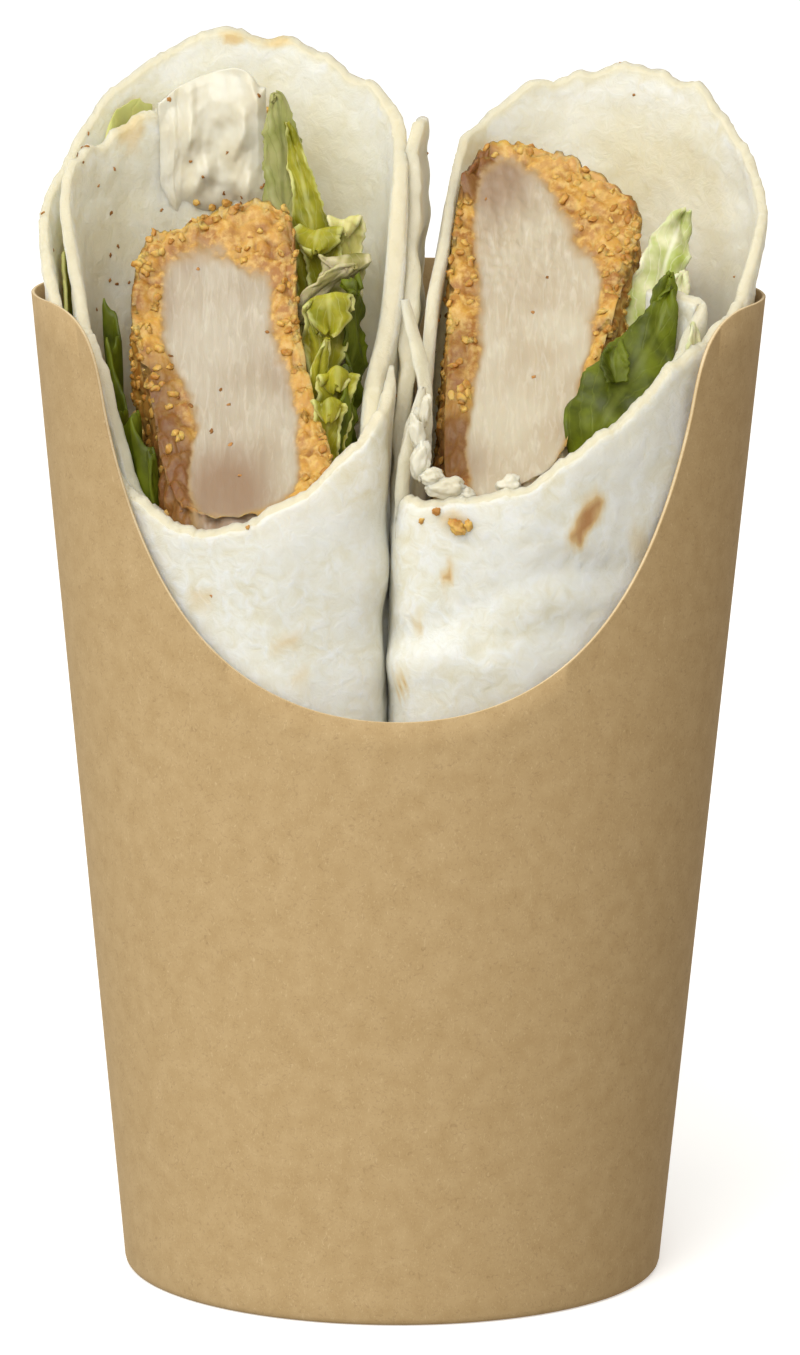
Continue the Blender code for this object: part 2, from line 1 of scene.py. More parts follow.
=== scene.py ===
"""The looks of a crispy chicken wrap: two halves, cut on the slant, upright in a kraft board scoop cup.

Metres, +Z up, the cup's low notch facing -Y. The sections follow the thing as it is put together:
the cup, the two rolled tortillas, the fillets, the leaves, the sauce, the torn dough between the rolls,
and the crumbs and dried herbs that fell on it.
"""

import math

import bmesh
import bpy
import numpy as np
from mathutils import Matrix, Vector, noise


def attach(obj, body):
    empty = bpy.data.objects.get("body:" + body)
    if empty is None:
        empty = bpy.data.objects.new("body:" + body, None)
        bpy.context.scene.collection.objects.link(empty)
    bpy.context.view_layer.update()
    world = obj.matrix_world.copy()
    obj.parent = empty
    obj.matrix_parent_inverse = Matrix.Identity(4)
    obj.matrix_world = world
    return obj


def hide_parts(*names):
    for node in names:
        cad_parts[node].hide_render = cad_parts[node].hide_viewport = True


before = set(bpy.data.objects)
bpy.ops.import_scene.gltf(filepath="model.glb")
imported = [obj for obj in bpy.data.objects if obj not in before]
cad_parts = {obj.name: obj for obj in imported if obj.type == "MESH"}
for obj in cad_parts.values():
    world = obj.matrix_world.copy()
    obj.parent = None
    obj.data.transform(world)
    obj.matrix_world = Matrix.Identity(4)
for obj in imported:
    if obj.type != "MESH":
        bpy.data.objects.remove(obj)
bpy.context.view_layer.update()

# ---------------------------------------------------------------- the cup's sleeve
# A blank of 0.6 mm unbleached kraft board, curled round and glued in a lap at the back. Its low front
# and high back are die cut, so the rim shows a pale raw edge. The foot is folded in to hold the base.

CUP_HEIGHT = 0.1525
FOOT_HALF_WIDTH = 0.0417
FOOT_HALF_DEPTH = 0.0368
MOUTH_HALF_WIDTH = 0.0558
MOUTH_HALF_DEPTH = 0.0395
BOARD = 0.0006
GAP = 0.0003
HEM_HEIGHT = 0.0070
LAP_START = 178.0
LAP_END = 192.0
NOTCH_LOW = 0.0936
NOTCH_SIDE = 54.0
NOTCH_KNEE = 0.1380
NOTCH_END = 72.0


def smooth(low, high, value):
    """0 below low, 1 above high, and a smooth step between."""
    t = min(1.0, max(0.0, (value - low) / (high - low)))
    return t * t * (3 - 2 * t)


def mix(a, b, t):
    return a + (b - a) * t


def even(low, high, steps):
    """Evenly spaced places from low to high."""
    return [mix(low, high, i / steps) for i in range(steps + 1)]


def tint(code):
    """A hex sRGB colour as the linear colour that a shader takes."""
    parts = [int(code[i : i + 2], 16) / 255 for i in (0, 2, 4)]
    return (*(p / 12.92 if p <= 0.04045 else ((p + 0.055) / 1.055) ** 2.4 for p in parts), 1.0)


# The nodes that these materials use most, and the sockets of a Mix node that mixes colours. A Map Range
# node takes its value at socket 0, and maps the range from 1 to 2 on that from 3 to 4.
MIX, NOISE, RANGE = "ShaderNodeMix", "ShaderNodeTexNoise", "ShaderNodeMapRange"
BUMP, MATH = "ShaderNodeBump", "ShaderNodeMath"
FACTOR, FIRST, SECOND, MIXED = 0, 6, 7, 2


def add(tree, kind, inputs=None, **settings):
    """Adds a node with its settings, or takes one that is there. An input is a plain value, a hex colour,
    another node's output, or another node, of which the result is linked."""
    node = kind if isinstance(kind, bpy.types.Node) else tree.nodes.new(kind)
    for key, value in settings.items():
        setattr(node, key, value)
    for key, value in (inputs or {}).items():
        socket = node.inputs[key]
        if isinstance(value, bpy.types.Node):
            value = value.outputs[MIXED if getattr(value, "data_type", "") == "RGBA" else 0]
        if isinstance(value, bpy.types.NodeSocket):
            tree.links.new(value, socket)
        else:
            socket.default_value = tint(value) if socket.type == "RGBA" and isinstance(value, str) else value
    return node


def surface(name, roughness, ior=1.45):
    """A new material: its node tree, its Principled shader, and Object coordinates in metres."""
    material = bpy.data.materials.new(name)
    material.use_nodes = True
    tree = material.node_tree
    shader = tree.nodes["Principled BSDF"]
    add(tree, shader, {"Roughness": roughness, "IOR": ior})
    where = add(tree, "ShaderNodeTexCoord").outputs["Object"]
    return material, tree, shader, where


def in_scene(name, data):
    """A new object that shows a mesh, a light or a camera."""
    made = bpy.data.objects.new(name, data)
    bpy.context.scene.collection.objects.link(made)
    return made


def piece(name, verts, faces, material, crease):
    """A mesh object at the origin, shaded smooth up to the crease angle."""
    data = bpy.data.meshes.new(name)
    data.from_pydata([tuple(v) for v in verts], [], faces)
    data.materials.append(material)
    data.shade_smooth()
    data.set_sharp_from_angle(angle=math.radians(crease))
    return in_scene(name, data)


def kraft(name, dark, middle, pale, roughness):
    """Unbleached kraft board, matte: short curled fibres about a millimetre long over soft brown clouds."""
    material, tree, shader, where = surface(name, roughness)
    clouds = add(tree, NOISE, {"Vector": where, "Scale": 330.0, "Detail": 5.0})
    curled = {"Scale": 900.0, "Detail": 6.0, "Roughness": 0.65, "Distortion": 2.4}
    fibres = add(tree, NOISE, {"Vector": where, **curled})
    upright = add(tree, "ShaderNodeMapping", {"Vector": where, "Scale": (1.0, 1.0, 0.42)})
    strands = add(tree, NOISE, {"Vector": upright, "Scale": 1500.0, "Detail": 3.0, "Distortion": 4.0})
    cloud = add(tree, RANGE, {0: clouds, 1: 0.30, 2: 0.70})
    strand = add(tree, RANGE, {0: strands, 1: 0.58, 2: 0.74})
    pit = add(tree, RANGE, {0: fibres, 1: 0.46, 2: 0.28})
    base = add(tree, MIX, {FACTOR: cloud, FIRST: middle[0], SECOND: middle[1]}, data_type="RGBA")
    weak_strand = add(tree, MATH, {0: strand, 1: 0.45}, operation="MULTIPLY")
    lit = add(tree, MIX, {FACTOR: weak_strand, FIRST: base, SECOND: pale}, data_type="RGBA")
    weak_pit = add(tree, MATH, {0: pit, 1: 0.42}, operation="MULTIPLY")
    full = add(tree, MIX, {FACTOR: weak_pit, FIRST: lit, SECOND: dark}, data_type="RGBA")
    bump = add(tree, BUMP, {"Height": fibres, "Strength": 0.25, "Distance": 0.00008})
    add(tree, shader, {"Base Color": full, "Normal": bump})
    return material


kraft_face = kraft("kraft_board_face", "866841", ("b5986a", "bfa376"), "dcc59b", 0.82)
kraft_edge = kraft("kraft_board_cut_edge", "b59768", ("d3bb90", "dfcba5"), "eee0c2", 0.9)


def cup_half_sizes(height):
    """Half width and half depth of the sleeve's outside."""
    share = min(height, CUP_HEIGHT) / CUP_HEIGHT
    return mix(FOOT_HALF_WIDTH, MOUTH_HALF_WIDTH, share), mix(FOOT_HALF_DEPTH, MOUTH_HALF_DEPTH, share)


def cup_point(angle, inset, height):
    """A point of the sleeve, inset from its outside, at an angle from the front in degrees."""
    width, depth = cup_half_sizes(height)
    a = math.radians(angle)
    return Vector(((width - inset) * math.sin(a), -(depth - inset) * math.cos(a), height))


def bezier(points, t):
    """A cubic Bezier through four (angle, height) points."""
    weights = ((1 - t) ** 3, 3 * t * (1 - t) ** 2, 3 * t * t * (1 - t), t**3)
    return [sum(w * p[k] for w, p in zip(weights, points)) for k in (0, 1)]


def rim_columns():
    """(angle, rim height, lap) round the sleeve, close together where the notch is steep."""
    low_curve = ((0, NOTCH_LOW), (32, NOTCH_LOW), (48.5, 0.1145), (NOTCH_SIDE, NOTCH_KNEE))
    corner = ((NOTCH_SIDE, NOTCH_KNEE), (55.6, 0.1480), (57.5, CUP_HEIGHT), (NOTCH_END, CUP_HEIGHT))
    right = [bezier(low_curve, i / 60) for i in range(60)] + [bezier(corner, i / 24) for i in range(25)]
    left = [(360 - angle, height) for angle, height in reversed(right[1:])]
    before = even(NOTCH_END, LAP_START, 60)[1:]
    lap = [LAP_START + 0.2, (LAP_START + LAP_END) / 2]
    after = even(LAP_END, 360 - NOTCH_END, 54)[:-1]
    columns = right + [(angle, CUP_HEIGHT) for angle in before + lap + after] + left
    return [(a, h, BOARD if LAP_START < a < LAP_END else 0.0) for a, h in columns]


def ring_faces(rings, count, closed=True):
    """Quads that join rings of vertices, each to the next; with closed, the last to the first as well."""
    pairs = list(zip(range(rings - 1), range(1, rings))) + ([(rings - 1, 0)] if closed else [])
    return [
        (low * count + i, low * count + (i + 1) % count, high * count + (i + 1) % count, high * count + i)
        for low, high in pairs
        for i in range(count)
    ]


def build_sleeve():
    """The sleeve as one closed body: up its outside from the rim's edge, round the foot and up its inside."""
    columns = rim_columns()
    channel_in = 2 * BOARD + 2 * GAP
    hem_in = channel_in + BOARD
    foot = [
        (0.0, 0.0012), (0.00012, 0.0006), (0.0004, 0.0002), (0.0010, 0.0), (hem_in - 0.0004, 0.0),
        (hem_in, 0.0006), (hem_in, HEM_HEIGHT), (channel_in, HEM_HEIGHT), (channel_in, BOARD), (BOARD, BOARD),
    ]
    lowest_row, rows, edge_round = 0.04, 22, 0.00012
    shares = even(1, lowest_row, rows)
    rings = [[cup_point(a, edge_round - lap, top) for a, top, lap in columns]]
    for share in shares:
        drop = edge_round if share == 1 else 0.0
        rings.append([cup_point(a, -lap, top * share - drop) for a, top, lap in columns])
    for inset, height in foot:
        outer = 1.0 if inset == 0.0 else 0.0
        rings.append([cup_point(a, inset - lap * outer, height) for a, top, lap in columns])
    for share in reversed(shares):
        drop = edge_round if share == 1 else 0.0
        rings.append([cup_point(a, BOARD, top * share - drop) for a, top, lap in columns])
    rings.append([cup_point(a, BOARD - edge_round, top) for a, top, lap in columns])
    faces = ring_faces(len(rings), len(columns))
    made = piece("kraft_sleeve", [p for ring in rings for p in ring], faces, kraft_face, crease=50)
    made.data.materials.append(kraft_edge)
    first_of_last_ring = (len(rings) - 1) * len(columns)
    for face in made.data.polygons[first_of_last_ring:]:
        face.material_index = 1
    made.data.flip_normals()
    return made


sleeve = build_sleeve()
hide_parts("cup_sleeve")
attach(sleeve, "root")

# ---------------------------------------------------------------- the cup's base
# A flat disc of the same board, pressed up into the sleeve with its skirt turned down into the hem.

BASE_RISE = 0.0080


def build_base():
    """The base as one closed body: a disc with a skirt, its profile carried round the foot."""
    skirt_out = BOARD + GAP
    skirt_in = skirt_out + BOARD
    top = BASE_RISE + BOARD
    middle_inset = 0.022
    profile = [
        (middle_inset, BASE_RISE), (skirt_in + 0.0008, BASE_RISE), (skirt_in + 0.0002, BASE_RISE - 0.0002),
        (skirt_in, BASE_RISE - 0.0008), (skirt_in, 0.0012), (skirt_out, 0.0012), (skirt_out, top - 0.0010),
        (skirt_out + 0.0003, top - 0.0003), (skirt_out + 0.0010, top), (middle_inset, top),
    ]
    angles = [angle for angle, rim, lap in rim_columns()]
    count = len(angles)
    verts = [cup_point(a, inset, height) for inset, height in profile for a in angles]
    faces = ring_faces(len(profile), count, closed=False)
    for ring, height, turn in ((0, BASE_RISE, 1), (len(profile) - 1, top, -1)):
        verts.append(Vector((0, 0, height)))
        for i in range(count):
            fan = (ring * count + (i + 1) % count, ring * count + i, len(verts) - 1)
            faces.append(fan[::turn])
    made = piece("kraft_base", verts, faces, kraft_face, crease=50)
    made.data.flip_normals()
    return made


base = build_base()
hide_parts("cup_base")
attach(base, "root")

# ---------------------------------------------------------------- the two rolled tortillas
# Each half is a 2 mm flour tortilla wound nearly twice round its filling and cut through on the slant.
# It is soft, steamed wheat dough: its face bubbles and creases, and a few blisters toasted on the plate.

TORTILLA = 0.0020
# From one turn's middle surface to the next one's.
PITCH = 0.0024
ROLL_CENTRE_Y = -0.0030
ROLL_HALF_DEPTH = 0.0325
ROLL_FOOT = 0.0092
ROLL_CLEARANCE = 0.0005
TUCK = 0.0028
TUCK_HEIGHT = 0.014
# The power of each roll's rounded outline from above: 2 is an ellipse, and a high one has square corners.
SQUARENESS = 2.5
CORNER_SQUARENESS = 5.5
# How far the rolls bulge above the cup's rim, over how much height, and the row of each sheet where that
# starts: its height, and the share of the rows that lie below it.
OVER_RIM = 0.0018
BULGE_HEIGHT = 0.012
RIM_ROW = 0.1535
ROWS_BELOW = 0.66
# A sheet steps up over its own inner turn within so many degrees.
STEP_TURN = 26
# The height at which the places of the filling in a roll are given.
FILLING_LEVEL = 0.150
# What lies nearer than this is the rolls' front, below which creases and folds show.
FRONT_Y = -0.018

# Top edge of each sheet, as (degrees turned along the sheet, height in millimetres).
LEFT_START = 76.0
LEFT_END = 700.0
LEFT_EDGE = (
    (76, 181), (80, 183), (85, 183.8), (90, 183.3), (98, 182), (111, 179.6), (122, 177.4), (134, 175.4),
    (145, 173.4), (159, 171.5), (168, 169), (175, 163), (181, 156.5), (191, 150.5), (206, 146), (216, 141),
    (237, 124), (267, 119), (282, 119.5), (295, 123.5), (316, 129), (338, 139), (352, 147.5), (370, 167.5),
    (381, 173), (399, 180), (418, 185.2), (435, 188.3), (451, 189.3), (472, 184.5), (488, 178), (506, 169.5),
    (523, 162.5), (538, 157.3), (568, 142), (590, 128), (600, 125), (608, 122.7), (619, 121.3), (630, 121.2),
    (639, 123), (649, 126.4), (656, 129.2), (661, 132.2), (667, 135), (673, 138.2), (686, 141), (702, 143),
)
RIGHT_START = 27.0
RIGHT_END = 575.0
RIGHT_LAP = 215.0
HOOK_TURN = 6.0
HOOK_REACH = 0.0104
RIGHT_EDGE = (
    (15, 154), (30, 153.5), (45, 146), (60, 138), (86, 130), (108, 123.5), (135, 122), (152, 122.5),
    (166, 140), (176, 151), (197, 161.5), (215, 169.7), (241, 177.3), (258, 181.8), (276, 183.8),
    (287, 184.2), (304, 181.5), (323, 175.5), (342, 168.4), (360, 162), (377, 152.8), (391, 150),
    (405, 147), (417, 144.2),
    (427, 141), (435, 138), (443, 135), (452, 132.2), (459, 129.7), (466, 127.8), (472, 126.8), (478, 126.5),
    (491, 125.8), (512, 124.5), (522, 130), (534, 145), (546, 158), (558, 170), (566, 175.5), (575, 177.5),
)
RIGHT_FREE_EDGE = ((486, 9.2), (494, 30), (502, 55), (509, 78), (516, 98), (546, 124), (575, 150))

# The knife's cut through each half: its rise over x and y, in millimetres for each millimetre.
CUT_SLOPE = {-1: (0.15, 1.15), 1: (0.25, 0.95)}
# Of the cut through the dough itself, this much shows: the soft edge springs back upright behind the knife.
CUT_LEAN = 0.4
# The knife pinches the dough to this share of its thickness at the edge.
PINCH = 0.72
# Down to this far below its rim the inner face is as pale and dry as the outer one.
INNER_FACE_STARTS = 0.012
# The cut through the dough shows as a creamier band down to here.
RIM_DEPTH = 0.0016


def along(table, place):
    """The value at a place in a table of (place, value) rows, on a smooth curve through the rows."""
    if place <= table[0][0]:
        return table[0][1]
    if place >= table[-1][0]:
        return table[-1][1]
    i = next(k for k in range(len(table) - 1) if place <= table[k + 1][0])
    (x0, y0), (x1, y1) = table[i], table[i + 1]
    before, after = table[max(i - 1, 0)], table[min(i + 2, len(table) - 1)]
    run = x1 - x0
    t = (place - x0) / run
    slope0 = (y1 - before[1]) / (x1 - before[0]) * run
    slope1 = (after[1] - y0) / (after[0] - x0) * run
    low = y0 * (1 + 2 * t) * (1 - t) ** 2 + slope0 * t * (1 - t) ** 2
    return low + y1 * t * t * (3 - 2 * t) + slope1 * t * t * (t - 1)


def divide_x(height):
    """Where the left roll ends and the right one starts: the right leans over the left low down."""
    low = mix(-0.0010, 0.0010, smooth(0.120, 0.152, height))
    return low + 0.0008 * smooth(0.152, 0.175, height)


def roll_room(height):
    """Half width and half depth of the room for the rolls. Above the cup's rim they bulge a little."""
    width, depth = cup_half_sizes(height)
    less = BOARD + ROLL_CLEARANCE - OVER_RIM * min(1.0, max(0.0, (height - RIM_ROW) / BULGE_HEIGHT))
    return width - less, depth - less


def roll_span(side, height):
    """Lowest and highest x of a roll, side -1 for the left and 1 for the right."""
    reach = roll_room(height)[0]
    middle = divide_x(height)
    if side < 0:
        return -reach, middle - GAP
    return middle + GAP, reach


def roll_radius(side, angle, height, depth=1.0):
    """Distance from a roll's centre line to its outer face, held in by the cup's wall and the other roll."""
    low, high = roll_span(side, height)
    centre, half_width = (low + high) / 2, (high - low) / 2
    a, b = roll_room(height)
    c, s = math.cos(math.radians(angle)), math.sin(math.radians(angle))
    corner = smooth(0.2, 0.9, -side * c) * smooth(0.1, 0.8, -s)
    n = mix(SQUARENESS, CORNER_SQUARENESS, corner * (1 - 0.6 * depth))
    own = ((abs(c) / (half_width * 1.07)) ** n + (abs(s) / ROLL_HALF_DEPTH) ** n) ** (-1 / n)
    qa = (c / a) ** 2 + (s / b) ** 2
    qb = centre * c / a**2 + ROLL_CENTRE_Y * s / b**2
    qc = (centre / a) ** 2 + (ROLL_CENTRE_Y / b) ** 2 - 1
    to_wall = (-qb + math.sqrt(qb * qb - qa * qc)) / qa
    towards_other = -side * c
    to_other = half_width / towards_other if towards_other > 0.05 else 1.0
    # The least of the three, with the corner between them rounded off.
    held = sum(r**-36 for r in (own, to_wall, to_other)) ** (-1 / 36)
    sag = 0.00016 * (2 + math.sin(3 * math.radians(angle) + 60 * height) + math.sin(95 * height + side))
    return held - sag * (1 - 0.8 * smooth(0.3, 0.9, -side * c))


def roll_centre(side, height):
    low, high = roll_span(side, height)
    return Vector(((low + high) / 2, ROLL_CENTRE_Y, height))


def roll_point(side, angle, inset, height):
    """A point on a layer of a roll, inset square to the outer face. The rolls tuck in at their feet."""
    depth = smooth(0.0012, 0.0030, inset)

    def outside(degrees):
        a = math.radians(degrees)
        return Vector((math.cos(a), math.sin(a), 0)) * roll_radius(side, degrees, height, depth)

    along_face = outside(angle + 1.5) - outside(angle - 1.5)
    inward = Vector((-along_face.y, along_face.x, 0)).normalized()
    tuck = TUCK * max(0.0, 1 - (height - ROLL_FOOT) / TUCK_HEIGHT) ** 2
    return roll_centre(side, height) + outside(angle) + inward * (inset + tuck)


def row_height(foot, top, v):
    """Height of a row of a sheet: the rows bend at the cup's rim, where the rolls start to bulge."""
    knee = min(RIM_ROW, top - 0.0045)
    if v < ROWS_BELOW:
        return mix(foot, knee, (v / ROWS_BELOW) ** 0.85)
    return mix(knee, top, (v - ROWS_BELOW) / (1 - ROWS_BELOW))


def layer_inset(turned, lap_start):
    """How far in a layer lies: under the outer turn up to lap_start, then rising to be the outer turn."""
    return PITCH * (1 - smooth(lap_start, lap_start + STEP_TURN, turned))


def left_inset(turned, height):
    """Inset of the left sheet's middle surface. It starts as a loose flap, curled in at its free end."""
    low, high = roll_span(-1, height)
    taper = min(1.0, (high - low) / 0.0545) ** 2
    flap = 0.0046 * (1 - smooth(95, 185, turned)) + 0.0016 * (1 - smooth(185, 245, turned))
    curl = 0.0028 * (1 - smooth(LEFT_START, LEFT_START + 18, turned))
    return TORTILLA / 2 + layer_inset(turned, LEFT_END - 360) + (flap + curl) * taper


def ragged(place, height=0.0):
    """How far a torn or cut edge of dough strays: a slow waver and small nicks."""
    slow = noise.noise(Vector((place * 0.11, height * 90, 3.1)))
    nick = noise.noise(Vector((place * 0.55, height * 400, 7.7)))
    return 0.00065 * slow + 0.0004 * nick


def left_sheet_point(turned, v):
    """The left sheet: a flap behind the chicken, then round by the outside and the front and on round."""
    waver = 0.0004 * math.sin(turned * 0.21) + 0.0003 * math.sin(turned * 0.47)
    edge = along(LEFT_EDGE, turned) / 1000 + waver + ragged(turned)
    height = row_height(ROLL_FOOT, edge, v)
    return roll_point(-1, turned, left_inset(turned, height), height)


def tongue_sway(turned, height):
    """The tongue waves a little and leans towards the left roll."""
    free = smooth(500, 530, turned) * smooth(0.112, 0.135, height)
    wave = 0.00028 * math.sin(height * 420 + turned * 0.07) + 0.00018 * math.sin(height * 930 + 1.3)
    return free * (wave - 0.0007 - 0.0005 * smooth(0.160, 0.178, height))


def right_inset(turned, height):
    """Inset of the right sheet's middle surface. Its outer end stands off by the other roll at the top."""
    hooked = max(0.0, 1 - (turned - RIGHT_START) / HOOK_TURN)
    apart = 0.0022 * smooth(0.140, 0.165, height) * smooth(168, 196, turned) * (1 - smooth(222, 262, turned))
    apart += tongue_sway(turned, height)
    taper = roll_radius(1, -turned, height) / roll_radius(1, -turned, FILLING_LEVEL)
    hook = HOOK_REACH * taper * hooked**1.4 + 0.0006 * (1 - smooth(RIGHT_START, 55, turned))
    return TORTILLA / 2 + layer_inset(turned, RIGHT_LAP) + apart + hook


def right_sheet_point(turned, v):
    """The right sheet: a hook off the outer wall, then round by the front, the other roll and the back,
    counted from +X towards the front. It ends in a tongue that slants up beside the other roll."""
    waver = 0.0004 * math.sin(turned * 0.23) + 0.0003 * math.sin(turned * 0.5)
    edge = along(RIGHT_EDGE, turned) / 1000 + waver + ragged(turned + 800)
    height = row_height(along(RIGHT_FREE_EDGE, turned) / 1000, edge, v)
    crease_line = 0.0995 + 0.00010 * (500 - turned)
    crease = 0.0011 * math.exp(-(((height - crease_line) / 0.0030) ** 2)) * smooth(452, 470, turned)
    inset = right_inset(turned, height) - crease * (1 - smooth(490, 510, turned))
    return roll_point(1, -turned, inset, height)


# Creases pressed into the front of the right roll, as lines of (x, height) in millimetres with a depth.
FRONT_CREASES = (
    (((0.5, 105.5), (5, 107.2), (11, 111.2), (18, 115.0), (26, 116.8), (35, 115.5)), 0.62),
    (((4, 109.5), (10, 114.0), (17, 117.5), (27, 119.0)), 0.30),
    (((7, 122.0), (14, 120.0), (22, 120.5)), 0.25),
    (((3, 99.5), (9, 101.5), (15, 105.5), (22, 107.5), (31, 109.5)), 0.38),
)


def swell(side, angle, height):
    """How far the dough swells out at a place on a roll. Every turn there swells alike, so none meet."""
    a = math.radians(angle)
    radius = roll_radius(side, angle, height)
    x, y = radius * math.cos(a), radius * math.sin(a)
    place = Vector((x + 0.3 * side, y, height))
    # Soft lumps, from about 16 mm down to 1 mm across.
    lumps = 0.00055 * noise.noise(place * 62) + 0.00030 * noise.noise(place * 135)
    lumps += 0.00017 * noise.noise(place * 330) + 0.00009 * noise.noise(place * 800)
    # The notch's edge holds the dough in.
    held = 1 - smooth(0.0009, 0.0019, height - NOTCH_LOW) if height < 0.12 else 0.0
    folds = 0.0
    if side > 0 and y < FRONT_Y:
        world_x = (x + roll_centre(1, height).x) * 1000
        for line, depth in FRONT_CREASES:
            if line[0][0] - 1 < world_x < line[-1][0] + 3:
                over = height * 1000 - along(line, world_x)
                ends = smooth(line[0][0] - 1, line[0][0] + 2, world_x)
                ends *= 1 - smooth(line[-1][0] - 4, line[-1][0] + 3, world_x)
                dip = math.exp(-((over / (0.9 if over > 0 else 2.6)) ** 2))
                puff = math.exp(-(((over - 2.6) / 2.0) ** 2))
                folds += (0.00032 * puff - 0.001 * dip) * depth * ends
    if side < 0 and y < FRONT_Y:
        near_other = smooth(0.010, 0.024, x)
        folds -= 0.0007 * near_other * (0.5 + 0.5 * math.sin(height * 420 + 1.0)) * (1 - held)
    # The rolls press against each other below the place where they part.
    towards_other = -side * x / radius
    pressed = (0.00048 if side < 0 else 0.0007) * smooth(0.45, 0.9, towards_other)
    pressed *= 1 - smooth(0.118, 0.128, height)
    return min(lumps - 0.00012, 0.00034) * (1 - 0.7 * smooth(0.7, 0.95, towards_other)) + folds + pressed


# Blisters toasted brown on the plate: the front of the rolls or their back, centre (x, height) and half
# sizes in millimetres, lean in degrees, and how brown.
TOASTED = (
    ("front", 27.6, 122.4, 1.9, 4.6, -24, 1.0),
    ("front", 29.6, 125.2, 2.0, 1.6, 0, 0.9),
    ("front", 7.6, 114.8, 0.9, 3.2, -20, 0.75),
    ("front", 8.2, 123.4, 2.4, 1.7, 10, 0.45),
    ("front", 0.9, 98.0, 1.0, 2.6, -8, 0.6),
    ("front", 3.4, 107.0, 0.8, 2.0, -8, 0.4),
    ("front", 36.0, 118.5, 1.6, 3.5, 20, 0.3),
    ("front", -29.0, 110.5, 2.2, 1.6, 0, 0.35),
    ("front", -16.5, 104.5, 2.8, 1.8, 15, 0.38),
    ("front", -14.0, 99.0, 2.2, 1.5, 0, 0.3),
    ("back", -41.5, 175.5, 3.0, 4.0, 10, 0.4),
    ("back", -19.5, 188.0, 3.2, 1.6, 0, 0.5),
    ("back", -26.0, 188.2, 2.0, 1.2, 0, 0.5),
    ("back", 12.0, 172.0, 3.6, 2.6, 20, 0.2),
    ("back", 28.0, 60.0, 6.0, 4.0, 20, 0.7),
    ("back", -30.0, 85.0, 5.0, 6.0, -20, 0.6),
)


def toast(place):
    """How toasted the dough is at a place, from 0 to 1."""
    found = 0.0
    here = "front" if place.y < ROLL_CENTRE_Y else "back"
    stray = 0.35 * noise.noise(place * 500) + 0.2 * noise.noise(place * 1300)
    for face, x, height, half_x, half_z, lean, brown in TOASTED:
        if face != here:
            continue
        dx, dz = place.x * 1000 - x, place.z * 1000 - height
        c, s = math.cos(math.radians(lean)), math.sin(math.radians(lean))
        off = math.hypot((dx * c + dz * s) / half_x, (dz * c - dx * s) / half_z)
        found = max(found, brown * (1 - smooth(0.35, 1.15, off + stray)))
    return found


def mark(made, title, values):
    """A value for each vertex of a piece, which its material or its grains read."""
    made.data.attributes.new(title, "FLOAT", "POINT").data.foreach_set("value", values)


